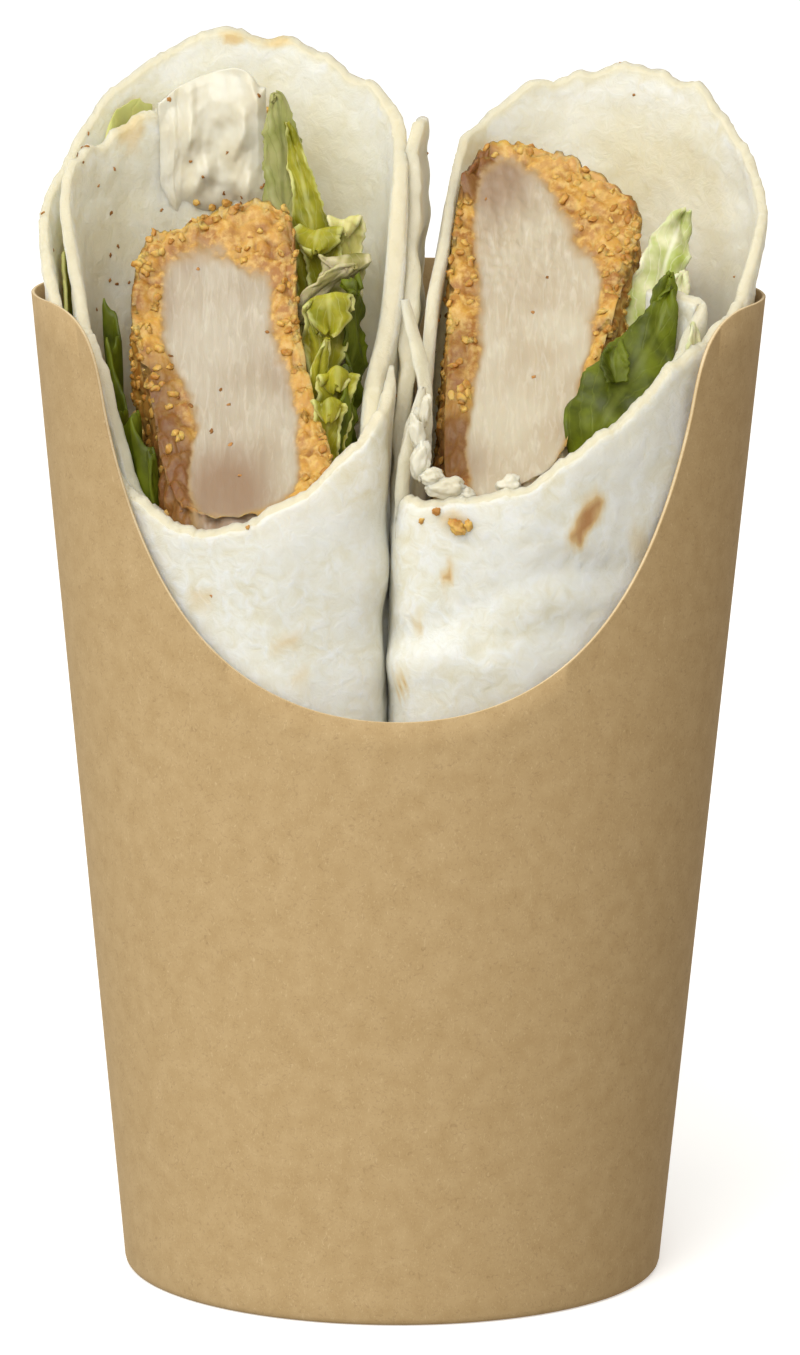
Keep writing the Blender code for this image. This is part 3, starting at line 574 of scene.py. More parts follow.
def rolled_sheet(name, side, point, columns, rows, taper, material):
    """A rolled sheet as one closed body: point(turned, v) is its middle surface. Its top edge is the cut."""
    turn = 1 if side < 0 else -1
    levels = [1 - (1 - j / rows) ** 1.45 for j in range(rows + 1)]
    middle = np.array([[point(t, v) for v in levels] for t in columns])
    across = np.gradient(middle, axis=0)
    upward = np.gradient(middle, axis=1)
    normal = np.cross(across, upward)
    normal *= turn / np.linalg.norm(normal, axis=2, keepdims=True)
    out = np.array([[swell(side, turn * t, z) for z in middle[i, :, 2]] for i, t in enumerate(columns)])
    half = np.array([taper(t) for t in columns])[:, None] * TORTILLA / 2
    slope = CUT_SLOPE[side]
    lean = CUT_LEAN * (normal[:, -1, 0] * slope[0] + normal[:, -1, 1] * slope[1]) * half[:, 0]
    near_top = np.clip((np.array(levels) - 0.88) / 0.12, 0, 1) ** 2
    uneven = np.array([0.22 * noise.noise(Vector((t * 0.31, 5.0, side))) for t in columns])
    uneven += np.array([0.16 * noise.noise(Vector((t * 1.1, 8.0, side))) for t in columns])
    half = half * (1 - (1 - PINCH + uneven[:, None]) * near_top[None, :])
    count = len(columns)
    faces_out = middle + normal * (out + half)[:, :, None]
    faces_in = middle + normal * (out - half)[:, :, None]
    faces_out[:, :, 2] += near_top[None, :] * (lean - np.abs(lean))[:, None]
    faces_in[:, :, 2] += near_top[None, :] * (-lean - np.abs(lean))[:, None]
    # The edge is rounded over the cut: how far across from the outer face, and how far it stands up.
    over = ((0.06, 0.45), (0.2, 0.8), (0.42, 1.0), (0.62, 0.98), (0.82, 0.78), (0.95, 0.42))
    crest = []
    for share, lift in over:
        line = faces_out[:, -1] * (1 - share) + faces_in[:, -1] * share
        stray = [0.00022 * noise.noise(Vector(p) * 900) for p in line]
        line[:, 2] += lift * half[:, -1] * 0.45 + np.array(stray)
        crest.append(line)
    loop = [faces_out[:, j] for j in range(rows + 1)] + crest + [faces_in[:, j] for j in range(rows, -1, -1)]
    size = len(loop)
    verts = np.stack(loop, axis=1).reshape(-1, 3)
    faces = []
    for i in range(count - 1):
        for k in range(size):
            after = (k + 1) % size
            faces.append((i * size + k, (i + 1) * size + k, (i + 1) * size + after, i * size + after))
    for i, flip in ((0, -1), (count - 1, 1)):
        start = i * size
        for j in range(rows):
            quad = (start + j, start + j + 1, start + size - 2 - j, start + size - 1 - j)
            faces.append(quad[::flip])
        crown = tuple(start + k for k in range(rows, rows + len(over) + 2))
        faces.append(crown[::flip])
    made = piece(name, verts, faces, material, crease=70)
    if side > 0:
        made.data.flip_normals()
    mark(made, "toasted", [toast(Vector(p)) for p in verts])
    below_rim = middle[:, -1:, 2] - middle[:, :, 2]
    depth_in = np.clip(below_rim / INNER_FACE_STARTS, 0, 1)
    on_crest = np.zeros((count, len(over)))
    mark(made, "inside", np.concatenate([depth_in * 0, on_crest, depth_in[:, ::-1]], axis=1).reshape(-1))
    near_rim = 0.8 * np.clip(1 - below_rim / RIM_DEPTH, 0, 1) ** 1.5
    edge = np.concatenate([near_rim, on_crest + 1, near_rim[:, ::-1]], axis=1)
    # Painted shade: the whole tongue takes the darker rim tone, for the warm shade in the narrow gap between
    # the rolls.
    if side > 0:
        tongue_gap_shade = np.array([smooth(500, 520, t) for t in columns])[:, None]
        edge = np.maximum(edge, tongue_gap_shade)
    mark(made, "rim", edge.reshape(-1))
    return made


# How light sinks into food: how much of it, how far of each colour, and the scale of that in metres.
SINKS_IN = ("Subsurface Weight", "Subsurface Radius", "Subsurface Scale")


def flour_dough():
    """Steamed flour tortilla, satin and a little see-through: floury white over creamy, moist patches."""
    material, tree, shader, where = surface("flour_tortilla_dough", 0.50)
    clouds = add(tree, NOISE, {"Vector": where, "Scale": 85.0, "Detail": 4.0})
    floured = {"Scale": 420.0, "Detail": 5.0, "Roughness": 0.6, "Distortion": 0.6}
    flour = add(tree, NOISE, {"Vector": where, **floured})
    cloud = add(tree, RANGE, {0: clouds, 1: 0.36, 2: 0.66})
    grain = add(tree, RANGE, {0: flour, 1: 0.35, 2: 0.65})
    face = add(tree, MIX, {FACTOR: cloud, FIRST: "ebe8da", SECOND: "e0d9c0"}, data_type="RGBA")
    floury = add(tree, MIX, {FACTOR: grain, FIRST: face, SECOND: "f0efe5"}, data_type="RGBA")
    inner = add(tree, MIX, {FACTOR: cloud, FIRST: "ece8d6", SECOND: "e2dabe"}, data_type="RGBA")
    marks = ("inside", "rim", "toasted")
    inside, rim, heat = (add(tree, "ShaderNodeAttribute", attribute_name=m).outputs["Fac"] for m in marks)
    dough = add(tree, MIX, {FACTOR: inside, FIRST: floury, SECOND: inner}, data_type="RGBA")
    # The rim tone is the creamier cut through the dough, and where the rim mark covers the tongue and the
    # torn scraps it is painted shade, the warm shade in the gap between the rolls.
    cut_edge_and_gap_shade = add(tree, MIX, {FACTOR: rim, FIRST: dough, SECOND: "dbd1b4"}, data_type="RGBA")
    warm = add(tree, RANGE, {0: heat, 1: 0.0, 2: 0.6})
    scorched = add(tree, RANGE, {0: heat, 1: 0.45, 2: 1.0})
    golden = add(tree, MIX, {FACTOR: warm, FIRST: cut_edge_and_gap_shade, SECOND: "dcc08c"}, data_type="RGBA")
    brown = add(tree, MIX, {FACTOR: scorched, FIRST: golden, SECOND: "b0814c"}, data_type="RGBA")
    pores = add(tree, NOISE, {"Vector": where, "Scale": 1300.0, "Detail": 3.0})
    fine = add(tree, BUMP, {"Height": pores, "Strength": 0.35, "Distance": 0.00010})
    soft = add(tree, BUMP, {"Height": flour, "Strength": 0.75, "Distance": 0.0005, "Normal": fine})
    add(tree, shader, {"Base Color": brown, "Normal": soft})
    add(tree, shader, dict(zip(SINKS_IN, (0.85, (1.0, 0.9, 0.72), 0.0045))))
    return material


dough = flour_dough()


def left_taper(turned):
    """Thickness along the left sheet, as a share: thick by the gap, with its free ends pressed thin."""
    thick = 0.5 * smooth(318, 345, turned) * (1 - smooth(382, 405, turned))
    thin_start = 0.45 * (1 - smooth(LEFT_START, LEFT_START + 5, turned))
    return 1 - thin_start - 0.5 * smooth(690, LEFT_END, turned) + thick


def right_taper(turned):
    """Thickness along the right sheet: thin at the hook's tip, and puffed up along the tongue."""
    return 1 - 0.4 * (1 - smooth(RIGHT_START, RIGHT_START + 3, turned)) + 0.35 * smooth(520, 545, turned)


SHEET_ROWS = 88
HOOK_COLUMNS = 16
hook_end = RIGHT_START + HOOK_TURN
left_columns = even(LEFT_START, LEFT_END, 440)
right_columns = even(RIGHT_START, hook_end, HOOK_COLUMNS) + even(hook_end, RIGHT_END, 410)[1:]
roll_left = rolled_sheet(
    "tortilla_left_roll", -1, left_sheet_point, left_columns, SHEET_ROWS, left_taper, dough,
)
roll_right = rolled_sheet(
    "tortilla_right_roll", 1, right_sheet_point, right_columns, SHEET_ROWS, right_taper, dough,
)
for roll, node in ((roll_left, "tortilla_left"), (roll_right, "tortilla_right")):
    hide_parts(node)
    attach(roll, "root")

# ---------------------------------------------------------------- the crumbed fillets
# A strip of chicken fried in a coarse crumb stands in each roll. The knife left its pale fibrous meat bare,
# framed by the crust, which is craggy, and browner where it lay in the fat.

# The cut over each filling is a curved surface about its middle: its height in millimetres, and what its
# slopes, its twist and its bends in x and y add at its reach.
CUT_MIDDLE = {-1: (-0.0270, -0.0030), 1: (0.0285, -0.0030)}
CUT_REACH = (0.0275, 0.0310)
CUT_TERMS = {-1: (154.0, 4.1, 44.2, 0.0, -1.7, -11.2), 1: (157.2, 8.0, 35.2, -6.5, -2.2, -9.0)}
FILLET_FOOT = 0.018

# Each fillet's outline from above with the width of crust that frames the meat there, in millimetres.
LEFT_FILLET_MM = (
    (-40.6, -5.0, 5.6), (-37.8, 1.8, 4.0), (-31.0, 3.2, 2.8), (-21.5, 4.6, 6.4), (-16.0, 1.8, 6.6),
    (-15.0, -7.5, 4.2), (-12.0, -16.6, 3.6), (-9.4, -24.6, 7.4), (-15.0, -29.8, 1.8), (-23.5, -30.8, 0.0),
    (-31.5, -28.6, 1.4), (-35.6, -22.0, 6.4), (-37.4, -15.0, 5.6),
)
RIGHT_FILLET_MM = (
    (8.2, 7.4, 4.4), (10.4, 12.8, 2.6), (15.8, 14.2, 1.8), (24.0, 11.4, 6.0), (34.8, 3.4, 8.2),
    (34.8, -3.8, 4.8), (32.0, -11.8, 3.2), (28.2, -21.6, 1.6), (24.6, -29.6, 0.2), (15.0, -30.4, 0.4),
    (9.4, -26.4, 4.6), (7.6, -9.0, 5.0),
)


def curve_through(points, t, closed=False):
    """The Catmull-Rom curve through points of any dimension, t from 0 to 1 over its whole length."""
    count = len(points)
    spans = count if closed else count - 1
    place = min(max(t, 0.0), 1.0) * spans
    i = min(int(place), spans - 1)
    f = place - i

    def at(k):
        return points[k % count] if closed else points[min(max(k, 0), count - 1)]

    p0, p1, p2, p3 = at(i - 1), at(i), at(i + 1), at(i + 2)
    return [
        b + 0.5 * f * (c - a + f * (2 * a - 5 * b + 4 * c - d + f * (3 * (b - c) + d - a)))
        for a, b, c, d in zip(p0, p1, p2, p3)
    ]


def in_roll(side, x_mm, y_mm, height):
    """Where a thing in a roll stands at a height. x_mm and y_mm are its plan place at FILLING_LEVEL."""
    centre = roll_centre(side, FILLING_LEVEL)
    x, y = x_mm / 1000 - centre.x, y_mm / 1000 - centre.y
    angle = math.degrees(math.atan2(y, x))
    inside = 0.0064
    share = (roll_radius(side, angle, height) - inside) / (roll_radius(side, angle, FILLING_LEVEL) - inside)
    return roll_centre(side, height) + Vector((x, y, 0)) * min(share, 1.04)


def on_cut(side, x, y):
    """Height of the knife's cut over a place in a roll's filling."""
    a = (x - CUT_MIDDLE[side][0]) / CUT_REACH[0]
    b = (y - CUT_MIDDLE[side][1]) / CUT_REACH[1]
    return sum(k * t for k, t in zip(CUT_TERMS[side], (1, a, b, a * b, a**3, b**3))) / 1000


def nodules(place, across):
    """Round lumps packed close together, about this far across: 1 on top of each, 0 in the creases."""
    near = noise.voronoi(place / across)[0][0]
    return max(0.0, 1.0 - (near / 0.8) ** 2)


# The crumb's crags bend at random, from this seed: the same each time.
CRUMB_SEED = 5
noise.seed_set(CRUMB_SEED)


def crag(place):
    """Height of the crumb's crags, about -1 to 1: lumps 2 to 4 mm across with smaller ones on them."""
    bent = place + 0.0011 * noise.noise_vector(place * 300)
    lumps = 1.2 * nodules(bent, 0.0027) + 0.6 * nodules(bent, 0.0013) - 0.9
    return lumps + 0.6 * noise.noise(place * 210)


# Where the crumb is browner: place in plan and reach in millimetres, and how much. A minus is paler.
BROWNED = {
    -1: ((-38.0, -15.0, 9.0, 0.65), (-34.0, -24.0, 9.5, 0.95), (-15.2, 0.5, 3.8, 0.8),
         (-38.5, -3.0, 5.0, 0.2), (-24.0, 3.5, 4.0, -0.3), (-10.0, -22.0, 5.0, -0.25)),
    1: ((9.5, 11.5, 6.5, 1.1), (8.4, -21.0, 10.0, 1.0), (8.0, -10.0, 6.0, 0.5), (24.0, 13.0, 6.0, -0.35),
        (31.0, 8.0, 5.0, -0.4), (33.0, -6.0, 5.0, 0.1)),
}
# Where the meat is moist and darker.
MOIST = {
    -1: ((-26.0, -27.0, 11.0, 1.0), (-37.0, -4.0, 5.0, 0.5), (-31.0, 0.5, 4.0, 0.35),
         (-17.0, -13.0, 5.0, 0.2)),
    1: ((14.0, 11.0, 9.5, 1.0), (11.0, -2.0, 5.0, 0.4), (11.0, -24.0, 6.0, 0.5), (29.0, 6.0, 5.0, 0.3)),
}


def patchy(places, x_mm, y_mm):
    """How strongly a place in plan lies in the patches of a list."""
    found = 0.0
    for x, y, reach, amount in places:
        found += amount * (1 - smooth(0.25, 1.0, math.hypot(x_mm - x, y_mm - y) / reach))
    return max(-1.0, min(1.0, found))


def fillet(name, side, outline_mm, material):
    """A crumbed fillet as one closed body. The crust attribute is 1 on the crumb and 0 on the bare meat."""
    columns, bands = 340, 70
    heights = [0.0, 0.03, 0.10, 0.22, 0.34, 0.44] + even(0.50, 1.0, 60)
    shares = [1 - (k / bands) ** 1.15 for k in range(1, bands)]
    outline = [curve_through(outline_mm, k / columns, closed=True) for k in range(columns)]
    middle = Vector([sum(p[k] for p in outline_mm) for k in (0, 1)]) / len(outline_mm) / 1000
    verts, crust, relief_of, brown, moist = [], [], [], [], []

    def keep(place, on_crust, relief, flat):
        verts.append(place)
        crust.append(on_crust)
        relief_of.append(relief)
        stray = 0.25 * noise.noise(place * 150)
        brown.append(patchy(BROWNED[side], flat.x * 1000, flat.y * 1000) + stray)
        moist.append(patchy(MOIST[side], flat.x * 1000, flat.y * 1000) + 0.5 * stray)

    for h in heights:
        for x, y, width in outline:
            p = Vector((x, y)) / 1000
            full = middle + (p - middle) * min(1.0, 0.72 + 2.4 * h)
            height = mix(FILLET_FOOT, on_cut(side, p.x, p.y), h)
            flat = in_roll(side, full.x * 1000, full.y * 1000, height).to_2d()
            away = (p - middle).normalized()
            place = Vector((flat.x, flat.y, height))
            round_off = 0.0010 * smooth(0.96, 1.0, h) ** 2
            relief = crag(place)
            out = 0.00095 * relief - 0.0002 - round_off
            crumbed = max(smooth(0.3, 2.2, width), 1 - smooth(0.86, 0.93, h))
            keep(place + Vector((away.x, away.y, 0)) * out, crumbed, relief, p)
    for share in shares:
        for x, y, width in outline:
            p = Vector((x, y)) / 1000
            flat = middle + (p - middle) * share
            level = on_cut(side, flat.x, flat.y)
            inward = (1 - share) * (p - middle).length * 1000
            spot = in_roll(side, flat.x * 1000, flat.y * 1000, level)
            stray = 0.9 * noise.noise(spot * 190) + 0.5 * noise.noise(spot * 620)
            on_crust = 1 - smooth(width - 1.4, width + 1.6, inward + stray)
            hump = math.sin(math.pi * min(1.0, (inward + 0.25) / (width + 0.6)) ** 0.8)
            relief = crag(spot)
            edge = 1 - smooth(0.6, 2.6, inward)
            rise = on_crust * (0.0005 * hump + mix(0.00075, 0.0011, edge) * relief)
            fibre = noise.noise(Vector((spot.x * 900, spot.y * 160, 4.0 + side)))
            # The right fillet's meat tore under the knife in its upper half.
            torn = noise.noise(Vector((spot.x * 420, spot.y * 300, 9.0))) + 0.6 * noise.noise(spot * 900)
            torn *= smooth(0.0, 0.5, side) * smooth(0.004, 0.010, spot.x)
            torn *= smooth(-0.010, 0.002, spot.y) * (1 - smooth(0.024, 0.028, spot.x))
            meat_rise = 0.00016 * fibre + 0.0005 * torn + 0.0002 * noise.noise(spot * 130) - 0.0002
            rise += (1 - on_crust) * meat_rise
            keep(spot + Vector((0, 0, rise)), on_crust, relief, flat)
    rings = len(heights) + len(shares)
    faces = ring_faces(rings, columns, closed=False)
    low = in_roll(side, middle.x * 1000, middle.y * 1000, FILLET_FOOT)
    tips = (
        (0, Vector((low.x, low.y, FILLET_FOOT - 0.003)), 1, 1.0),
        (rings - 1, Vector((middle.x, middle.y, on_cut(side, middle.x, middle.y) - 0.0002)), -1, 0.0),
    )
    for ring, tip, turn, on_crust in tips:
        keep(tip, on_crust, 0.0, middle)
        for i in range(columns):
            fan = (ring * columns + (i + 1) % columns, ring * columns + i, len(verts) - 1)
            faces.append(fan[::turn])
    made = piece(name, verts, faces, material, crease=180)
    for title, values in (("crust", crust), ("crag", relief_of), ("browned", brown), ("moist", moist)):
        mark(made, title, values)
    return made


def fried_crumb_colour(tree, where, relief, browned):
    """Colour of fried breadcrumb: golden, brown in patches a few millimetres wide, and darkened in the pits
    of its crags as painted shade. The noise of its grains comes with it, for the relief."""
    patches = add(tree, NOISE, {"Vector": where, "Scale": 210.0, "Detail": 4.0, "Roughness": 0.6})
    grains = add(tree, NOISE, {"Vector": where, "Scale": 900.0, "Detail": 3.0, "Roughness": 0.55})
    patch = add(tree, RANGE, {0: patches, 1: 0.42, 2: 0.60})
    grain = add(tree, RANGE, {0: grains, 1: 0.46, 2: 0.66, 4: 0.8})
    gold = add(tree, MIX, {FACTOR: patch, FIRST: "cb993e", SECOND: "a36b22"}, data_type="RGBA")
    pale_skin = add(tree, RANGE, {0: browned, 1: 0.0, 2: -0.5, 4: 0.75})
    fair = add(tree, MIX, {FACTOR: pale_skin, FIRST: gold, SECOND: "c39a5e"}, data_type="RGBA")
    pale = add(tree, MIX, {FACTOR: grain, FIRST: fair, SECOND: "dab568"}, data_type="RGBA")
    well_done = add(tree, RANGE, {0: browned, 1: 0.05, 2: 0.8, 4: 0.85})
    darker = add(tree, MIX, {FACTOR: well_done, FIRST: pale, SECOND: "70441a"}, data_type="RGBA")
    # Painted shade: the pits of the crags, where the relief is low, are darkened.
    pit = add(tree, RANGE, {0: relief, 1: -0.2, 2: -0.9, 4: 0.6})
    return add(tree, MIX, {FACTOR: pit, FIRST: darker, SECOND: "7a4a16"}, data_type="RGBA"), grains


def crumbed_chicken(name, pale_meat, tan_meat, streak_scale):
    """Cooked chicken in fried crumb: the meat is moist, pale and fibrous, the crumb dry, rough and golden."""
    material, tree, shader, where = surface(name, 0.42)
    marks = ("crust", "crag", "browned", "moist")
    crust, relief, browned, moist = (
        add(tree, "ShaderNodeAttribute", attribute_name=m).outputs["Fac"] for m in marks
    )
    crumb_colour, grains = fried_crumb_colour(tree, where, relief, browned)
    grainwise = add(tree, "ShaderNodeMapping", {"Vector": where, "Scale": streak_scale})
    streaked = {"Scale": 1.0, "Detail": 4.0, "Roughness": 0.55, "Distortion": 0.8}
    fibres = add(tree, NOISE, {"Vector": grainwise, **streaked})
    clouds = add(tree, NOISE, {"Vector": where, "Scale": 95.0, "Detail": 3.0})
    cloud = add(tree, RANGE, {0: clouds, 1: 0.36, 2: 0.72, 4: 0.7})
    fibre = add(tree, RANGE, {0: fibres, 1: 0.48, 2: 0.74, 4: 0.42})
    meat = add(tree, MIX, {FACTOR: cloud, FIRST: pale_meat, SECOND: tan_meat}, data_type="RGBA")
    lean = add(tree, MIX, {FACTOR: fibre, FIRST: meat, SECOND: "dcd5c2"}, data_type="RGBA")
    wet = add(tree, RANGE, {0: moist, 1: 0.0, 2: 1.0, 4: 0.9})
    juicy = add(tree, MIX, {FACTOR: wet, FIRST: lean, SECOND: "93765a"}, data_type="RGBA")
    # Under the crumb the fat has stained the meat tan, for about a millimetre.
    stain = add(tree, RANGE, {0: crust, 1: 0.0, 2: 0.5})
    stained = add(tree, MIX, {FACTOR: stain, FIRST: juicy, SECOND: "a98a5c"}, data_type="RGBA")
    crumbly = add(tree, MATH, {0: grains, 1: 0.9, 2: crust}, operation="MULTIPLY_ADD")
    cooked = add(tree, RANGE, {0: crumbly, 1: 0.88, 2: 1.22})
    both = add(tree, MIX, {FACTOR: cooked, FIRST: stained, SECOND: crumb_colour}, data_type="RGBA")
    dry = add(tree, RANGE, {0: crust, 3: 0.33, 4: 0.48})
    coarse = add(tree, BUMP, {"Height": grains, "Strength": 0.55, "Distance": 0.0003})
    thready = add(tree, BUMP, {"Height": fibres, "Strength": 0.3, "Distance": 0.00025})
    normal = add(tree, MIX, {0: crust, 4: thready, 5: coarse}, data_type="VECTOR")
    add(tree, shader, {"Base Color": both, "Roughness": dry, "Normal": normal.outputs[1]})
    add(tree, shader, dict(zip(SINKS_IN, (0.45, (1.0, 0.62, 0.35), 0.0018))))
    return material


chicken_left = fillet(
    "crumbed_fillet_left", -1, LEFT_FILLET_MM,
    crumbed_chicken("crumbed_chicken_left", "bdb29c", "a8967b", (1100.0, 230.0, 230.0)),
)
chicken_right = fillet(
    "crumbed_fillet_right", 1, RIGHT_FILLET_MM,
    crumbed_chicken("crumbed_chicken_right", "c3b89f", "a8906f", (1200.0, 260.0, 260.0)),
)
for strip, node in ((chicken_left, "chicken_left"), (chicken_right, "chicken_right")):
    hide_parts(node)
    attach(strip, "root")


# A grain is a ball of this fineness, with 80 faces.
GRAIN_FINENESS = 2


def scattered(name, carrier, where_thick, density, size, flatness, seed, material):
    """Small irregular grains over a carrier, as thick as its attribute says, at true size, as one mesh."""
    tree = bpy.data.node_groups.new(name, "GeometryNodeTree")
    tree.interface.new_socket("Carrier", in_out="INPUT", socket_type="NodeSocketGeometry")
    sizes = {"Grains for each square metre": density, "Grain radius": size, "Grain height": flatness}
    sockets = [tree.interface.new_socket(t, in_out="INPUT", socket_type="NodeSocketFloat") for t in sizes]
    tree.interface.new_socket("Grains", in_out="OUTPUT", socket_type="NodeSocketGeometry")
    given = add(tree, "NodeGroupInput")
    thick = add(tree, "GeometryNodeInputNamedAttribute", {"Name": where_thick}, data_type="FLOAT")
    level = add(tree, MATH, {0: thick.outputs["Attribute"], 1: given.outputs[1]}, operation="MULTIPLY")
    thickly = {"Mesh": given, "Density": level, "Seed": seed}
    points = add(tree, "GeometryNodeDistributePointsOnFaces", thickly)
    grain = add(tree, "GeometryNodeMeshIcoSphere", {"Radius": 1.0, "Subdivisions": GRAIN_FINENESS})
    ranges = (((0.55, 0.55, 0.6), (1.5, 1.1, 1.0)), ((-0.35, -0.35, 0.0), (0.35, 0.35, 6.28)))
    stretch, turn = (
        add(tree, "FunctionNodeRandomValue", {0: low, 1: high, "Seed": seed + k}, data_type="FLOAT_VECTOR")
        for k, (low, high) in enumerate(ranges, start=1)
    )
    radius, height = given.outputs[2], given.outputs[3]
    flat = add(tree, "ShaderNodeCombineXYZ", {0: radius, 1: radius, 2: height})
    scale = add(tree, "ShaderNodeVectorMath", {0: stretch, 1: flat}, operation="MULTIPLY")
    facing = {0: points.outputs["Rotation"], 1: turn}
    turned = add(tree, "FunctionNodeRotateRotation", facing, rotation_space="LOCAL")
    copies = {"Points": points, "Instance": grain, "Rotation": turned, "Scale": scale}
    placed = add(tree, "GeometryNodeInstanceOnPoints", copies)
    real = add(tree, "GeometryNodeRealizeInstances", {0: placed})
    here = add(tree, "GeometryNodeInputPosition")
    rough = add(tree, NOISE, {"Vector": here, "Scale": 1.1 / size, "Detail": 1.0})
    about_half = {0: rough.outputs["Color"], 1: (0.5, 0.5, 0.5)}
    centred = add(tree, "ShaderNodeVectorMath", about_half, operation="SUBTRACT")
    shove = add(tree, "ShaderNodeVectorMath", {0: centred, "Scale": size * 1.5}, operation="SCALE")
    knobbly = add(tree, "GeometryNodeSetPosition", {0: real, "Offset": shove})
    finish = add(tree, "GeometryNodeSetMaterial", {0: knobbly, "Material": material})
    add(tree, "NodeGroupOutput", {0: finish})
    made = in_scene(name, carrier.data.copy())
    maker = made.modifiers.new("grains", "NODES")
    maker.node_group = tree
    for socket in sockets:
        maker[socket.identifier] = sizes[socket.name]
    depsgraph = bpy.context.evaluated_depsgraph_get()
    grains = bpy.data.meshes.new_from_object(made.evaluated_get(depsgraph))
    made.modifiers.clear()
    made.data = grains
    made.data.shade_smooth()
    return made


def fried_grain():
    """Single fried crumbs: hard, golden and a little see-through, brown at the edges."""
    material, tree, shader, where = surface("fried_crumb_grain", 0.5)
    tones = add(tree, NOISE, {"Vector": where, "Scale": 520.0, "Detail": 1.0})
    tone = add(tree, RANGE, {0: tones, 1: 0.36, 2: 0.62})
    grit = add(tree, NOISE, {"Vector": where, "Scale": 1400.0, "Detail": 2.0})
    colour = add(tree, MIX, {FACTOR: tone, FIRST: "d8ad5a", SECOND: "b17a2e"}, data_type="RGBA")
    bump = add(tree, BUMP, {"Height": grit, "Strength": 0.5, "Distance": 0.0002})
    add(tree, shader, {"Base Color": colour, "Normal": bump})
    add(tree, shader, dict(zip(SINKS_IN, (0.5, (1.0, 0.6, 0.25), 0.0015))))
    return material


fried = fried_grain()
GRAINS_FOR_EACH_M2 = 200000.0
GRAIN_RADIUS = 0.0007
GRAIN_HEIGHT = 0.0005
# The lowest grains that can be seen stand at this height.
GRAINS_FROM = 0.112
for fried_on, seed in ((chicken_left, 3), (chicken_right, 8)):
    count = len(fried_on.data.vertices)
    crust, browned, places = np.empty(count), np.empty(count), np.empty(count * 3)
    fried_on.data.attributes["crust"].data.foreach_get("value", crust)
    fried_on.data.attributes["browned"].data.foreach_get("value", browned)
    fried_on.data.vertices.foreach_get("co", places)
    # Few of them stand where the crumb is brown and worn, or pale like skin.
    kept = np.clip((places[2::3] - GRAINS_FROM) / 0.01, 0, 1) * np.clip(1.1 - browned * 0.8, 0.25, 1)
    kept *= np.where(browned < -0.12, 0.3, 1.0)
    mark(fried_on, "crumbed", np.clip((crust - 0.8) / 0.2, 0, 1) * kept)
    grains = scattered(
        fried_on.name + "_grains", fried_on, "crumbed", GRAINS_FOR_EACH_M2, GRAIN_RADIUS, GRAIN_HEIGHT,
        seed, fried,
    )
    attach(grains, "root")

# ---------------------------------------------------------------- the leaves
# Torn romaine and young spinach, tucked in beside the chicken. The leaves are thin, waxy and ruffled, with
# pale ribs, and some of them are smeared with sauce.

LEAF = 0.0006
# At its edge a leaf's half thickness is this share of its thickness.
THIN_EDGE = 0.18


def thin_faces(columns, rows, first=0):
    """The faces of a thin closed body, of which the vertices are two grids, the front one first."""
    width = rows + 1
    size = (columns + 1) * width
    faces = []
    for i in range(columns):
        for j in range(rows):
            a, b = first + i * width + j, first + (i + 1) * width + j
            faces.append((a, b, b + 1, a + 1))
            faces.append((a + 1 + size, b + 1 + size, b + size, a + size))
    border = [(i, 0) for i in range(columns)] + [(columns, j) for j in range(rows)]
    border += [(i, rows) for i in range(columns, 0, -1)] + [(0, j) for j in range(rows, 0, -1)]
    for (i, j), (k, m) in zip(border, border[1:] + border[:1]):
        a, b = first + i * width + j, first + k * width + m
        faces.append((a, a + size, b + size, b))
    return faces


def leaf_body(name, lobes, columns, rows, material, thickness=LEAF):
    """A leaf as a thin closed body for each of its lobes: lobe(u, v) is a middle surface, and its UV map."""
    us, vs = even(0, 1, columns), even(0, 1, rows)
    half = np.full((columns + 1, rows + 1), thickness / 2)
    half[0, :] = half[-1, :] = half[:, 0] = half[:, -1] = thickness * THIN_EDGE
    verts, faces, places = [], [], []
    for lobe in lobes:
        faces.extend(thin_faces(columns, rows, first=len(verts)))
        middle = np.array([[lobe(u, v) for v in vs] for u in us])
        normal = np.cross(np.gradient(middle, axis=0), np.gradient(middle, axis=1))
        normal /= np.maximum(np.linalg.norm(normal, axis=2, keepdims=True), 1e-12)
        for face_of in (middle + normal * half[:, :, None], middle - normal * half[:, :, None]):
            verts.extend(tuple(v) for v in face_of.reshape(-1, 3))
            places.extend((u, v) for u in us for v in vs)
    made = piece(name, verts, faces, material, crease=80)
    layer = made.data.uv_layers.new(name="leaf")
    for loop in made.data.loops:
        layer.data[loop.index].uv = places[loop.vertex_index]
    return made


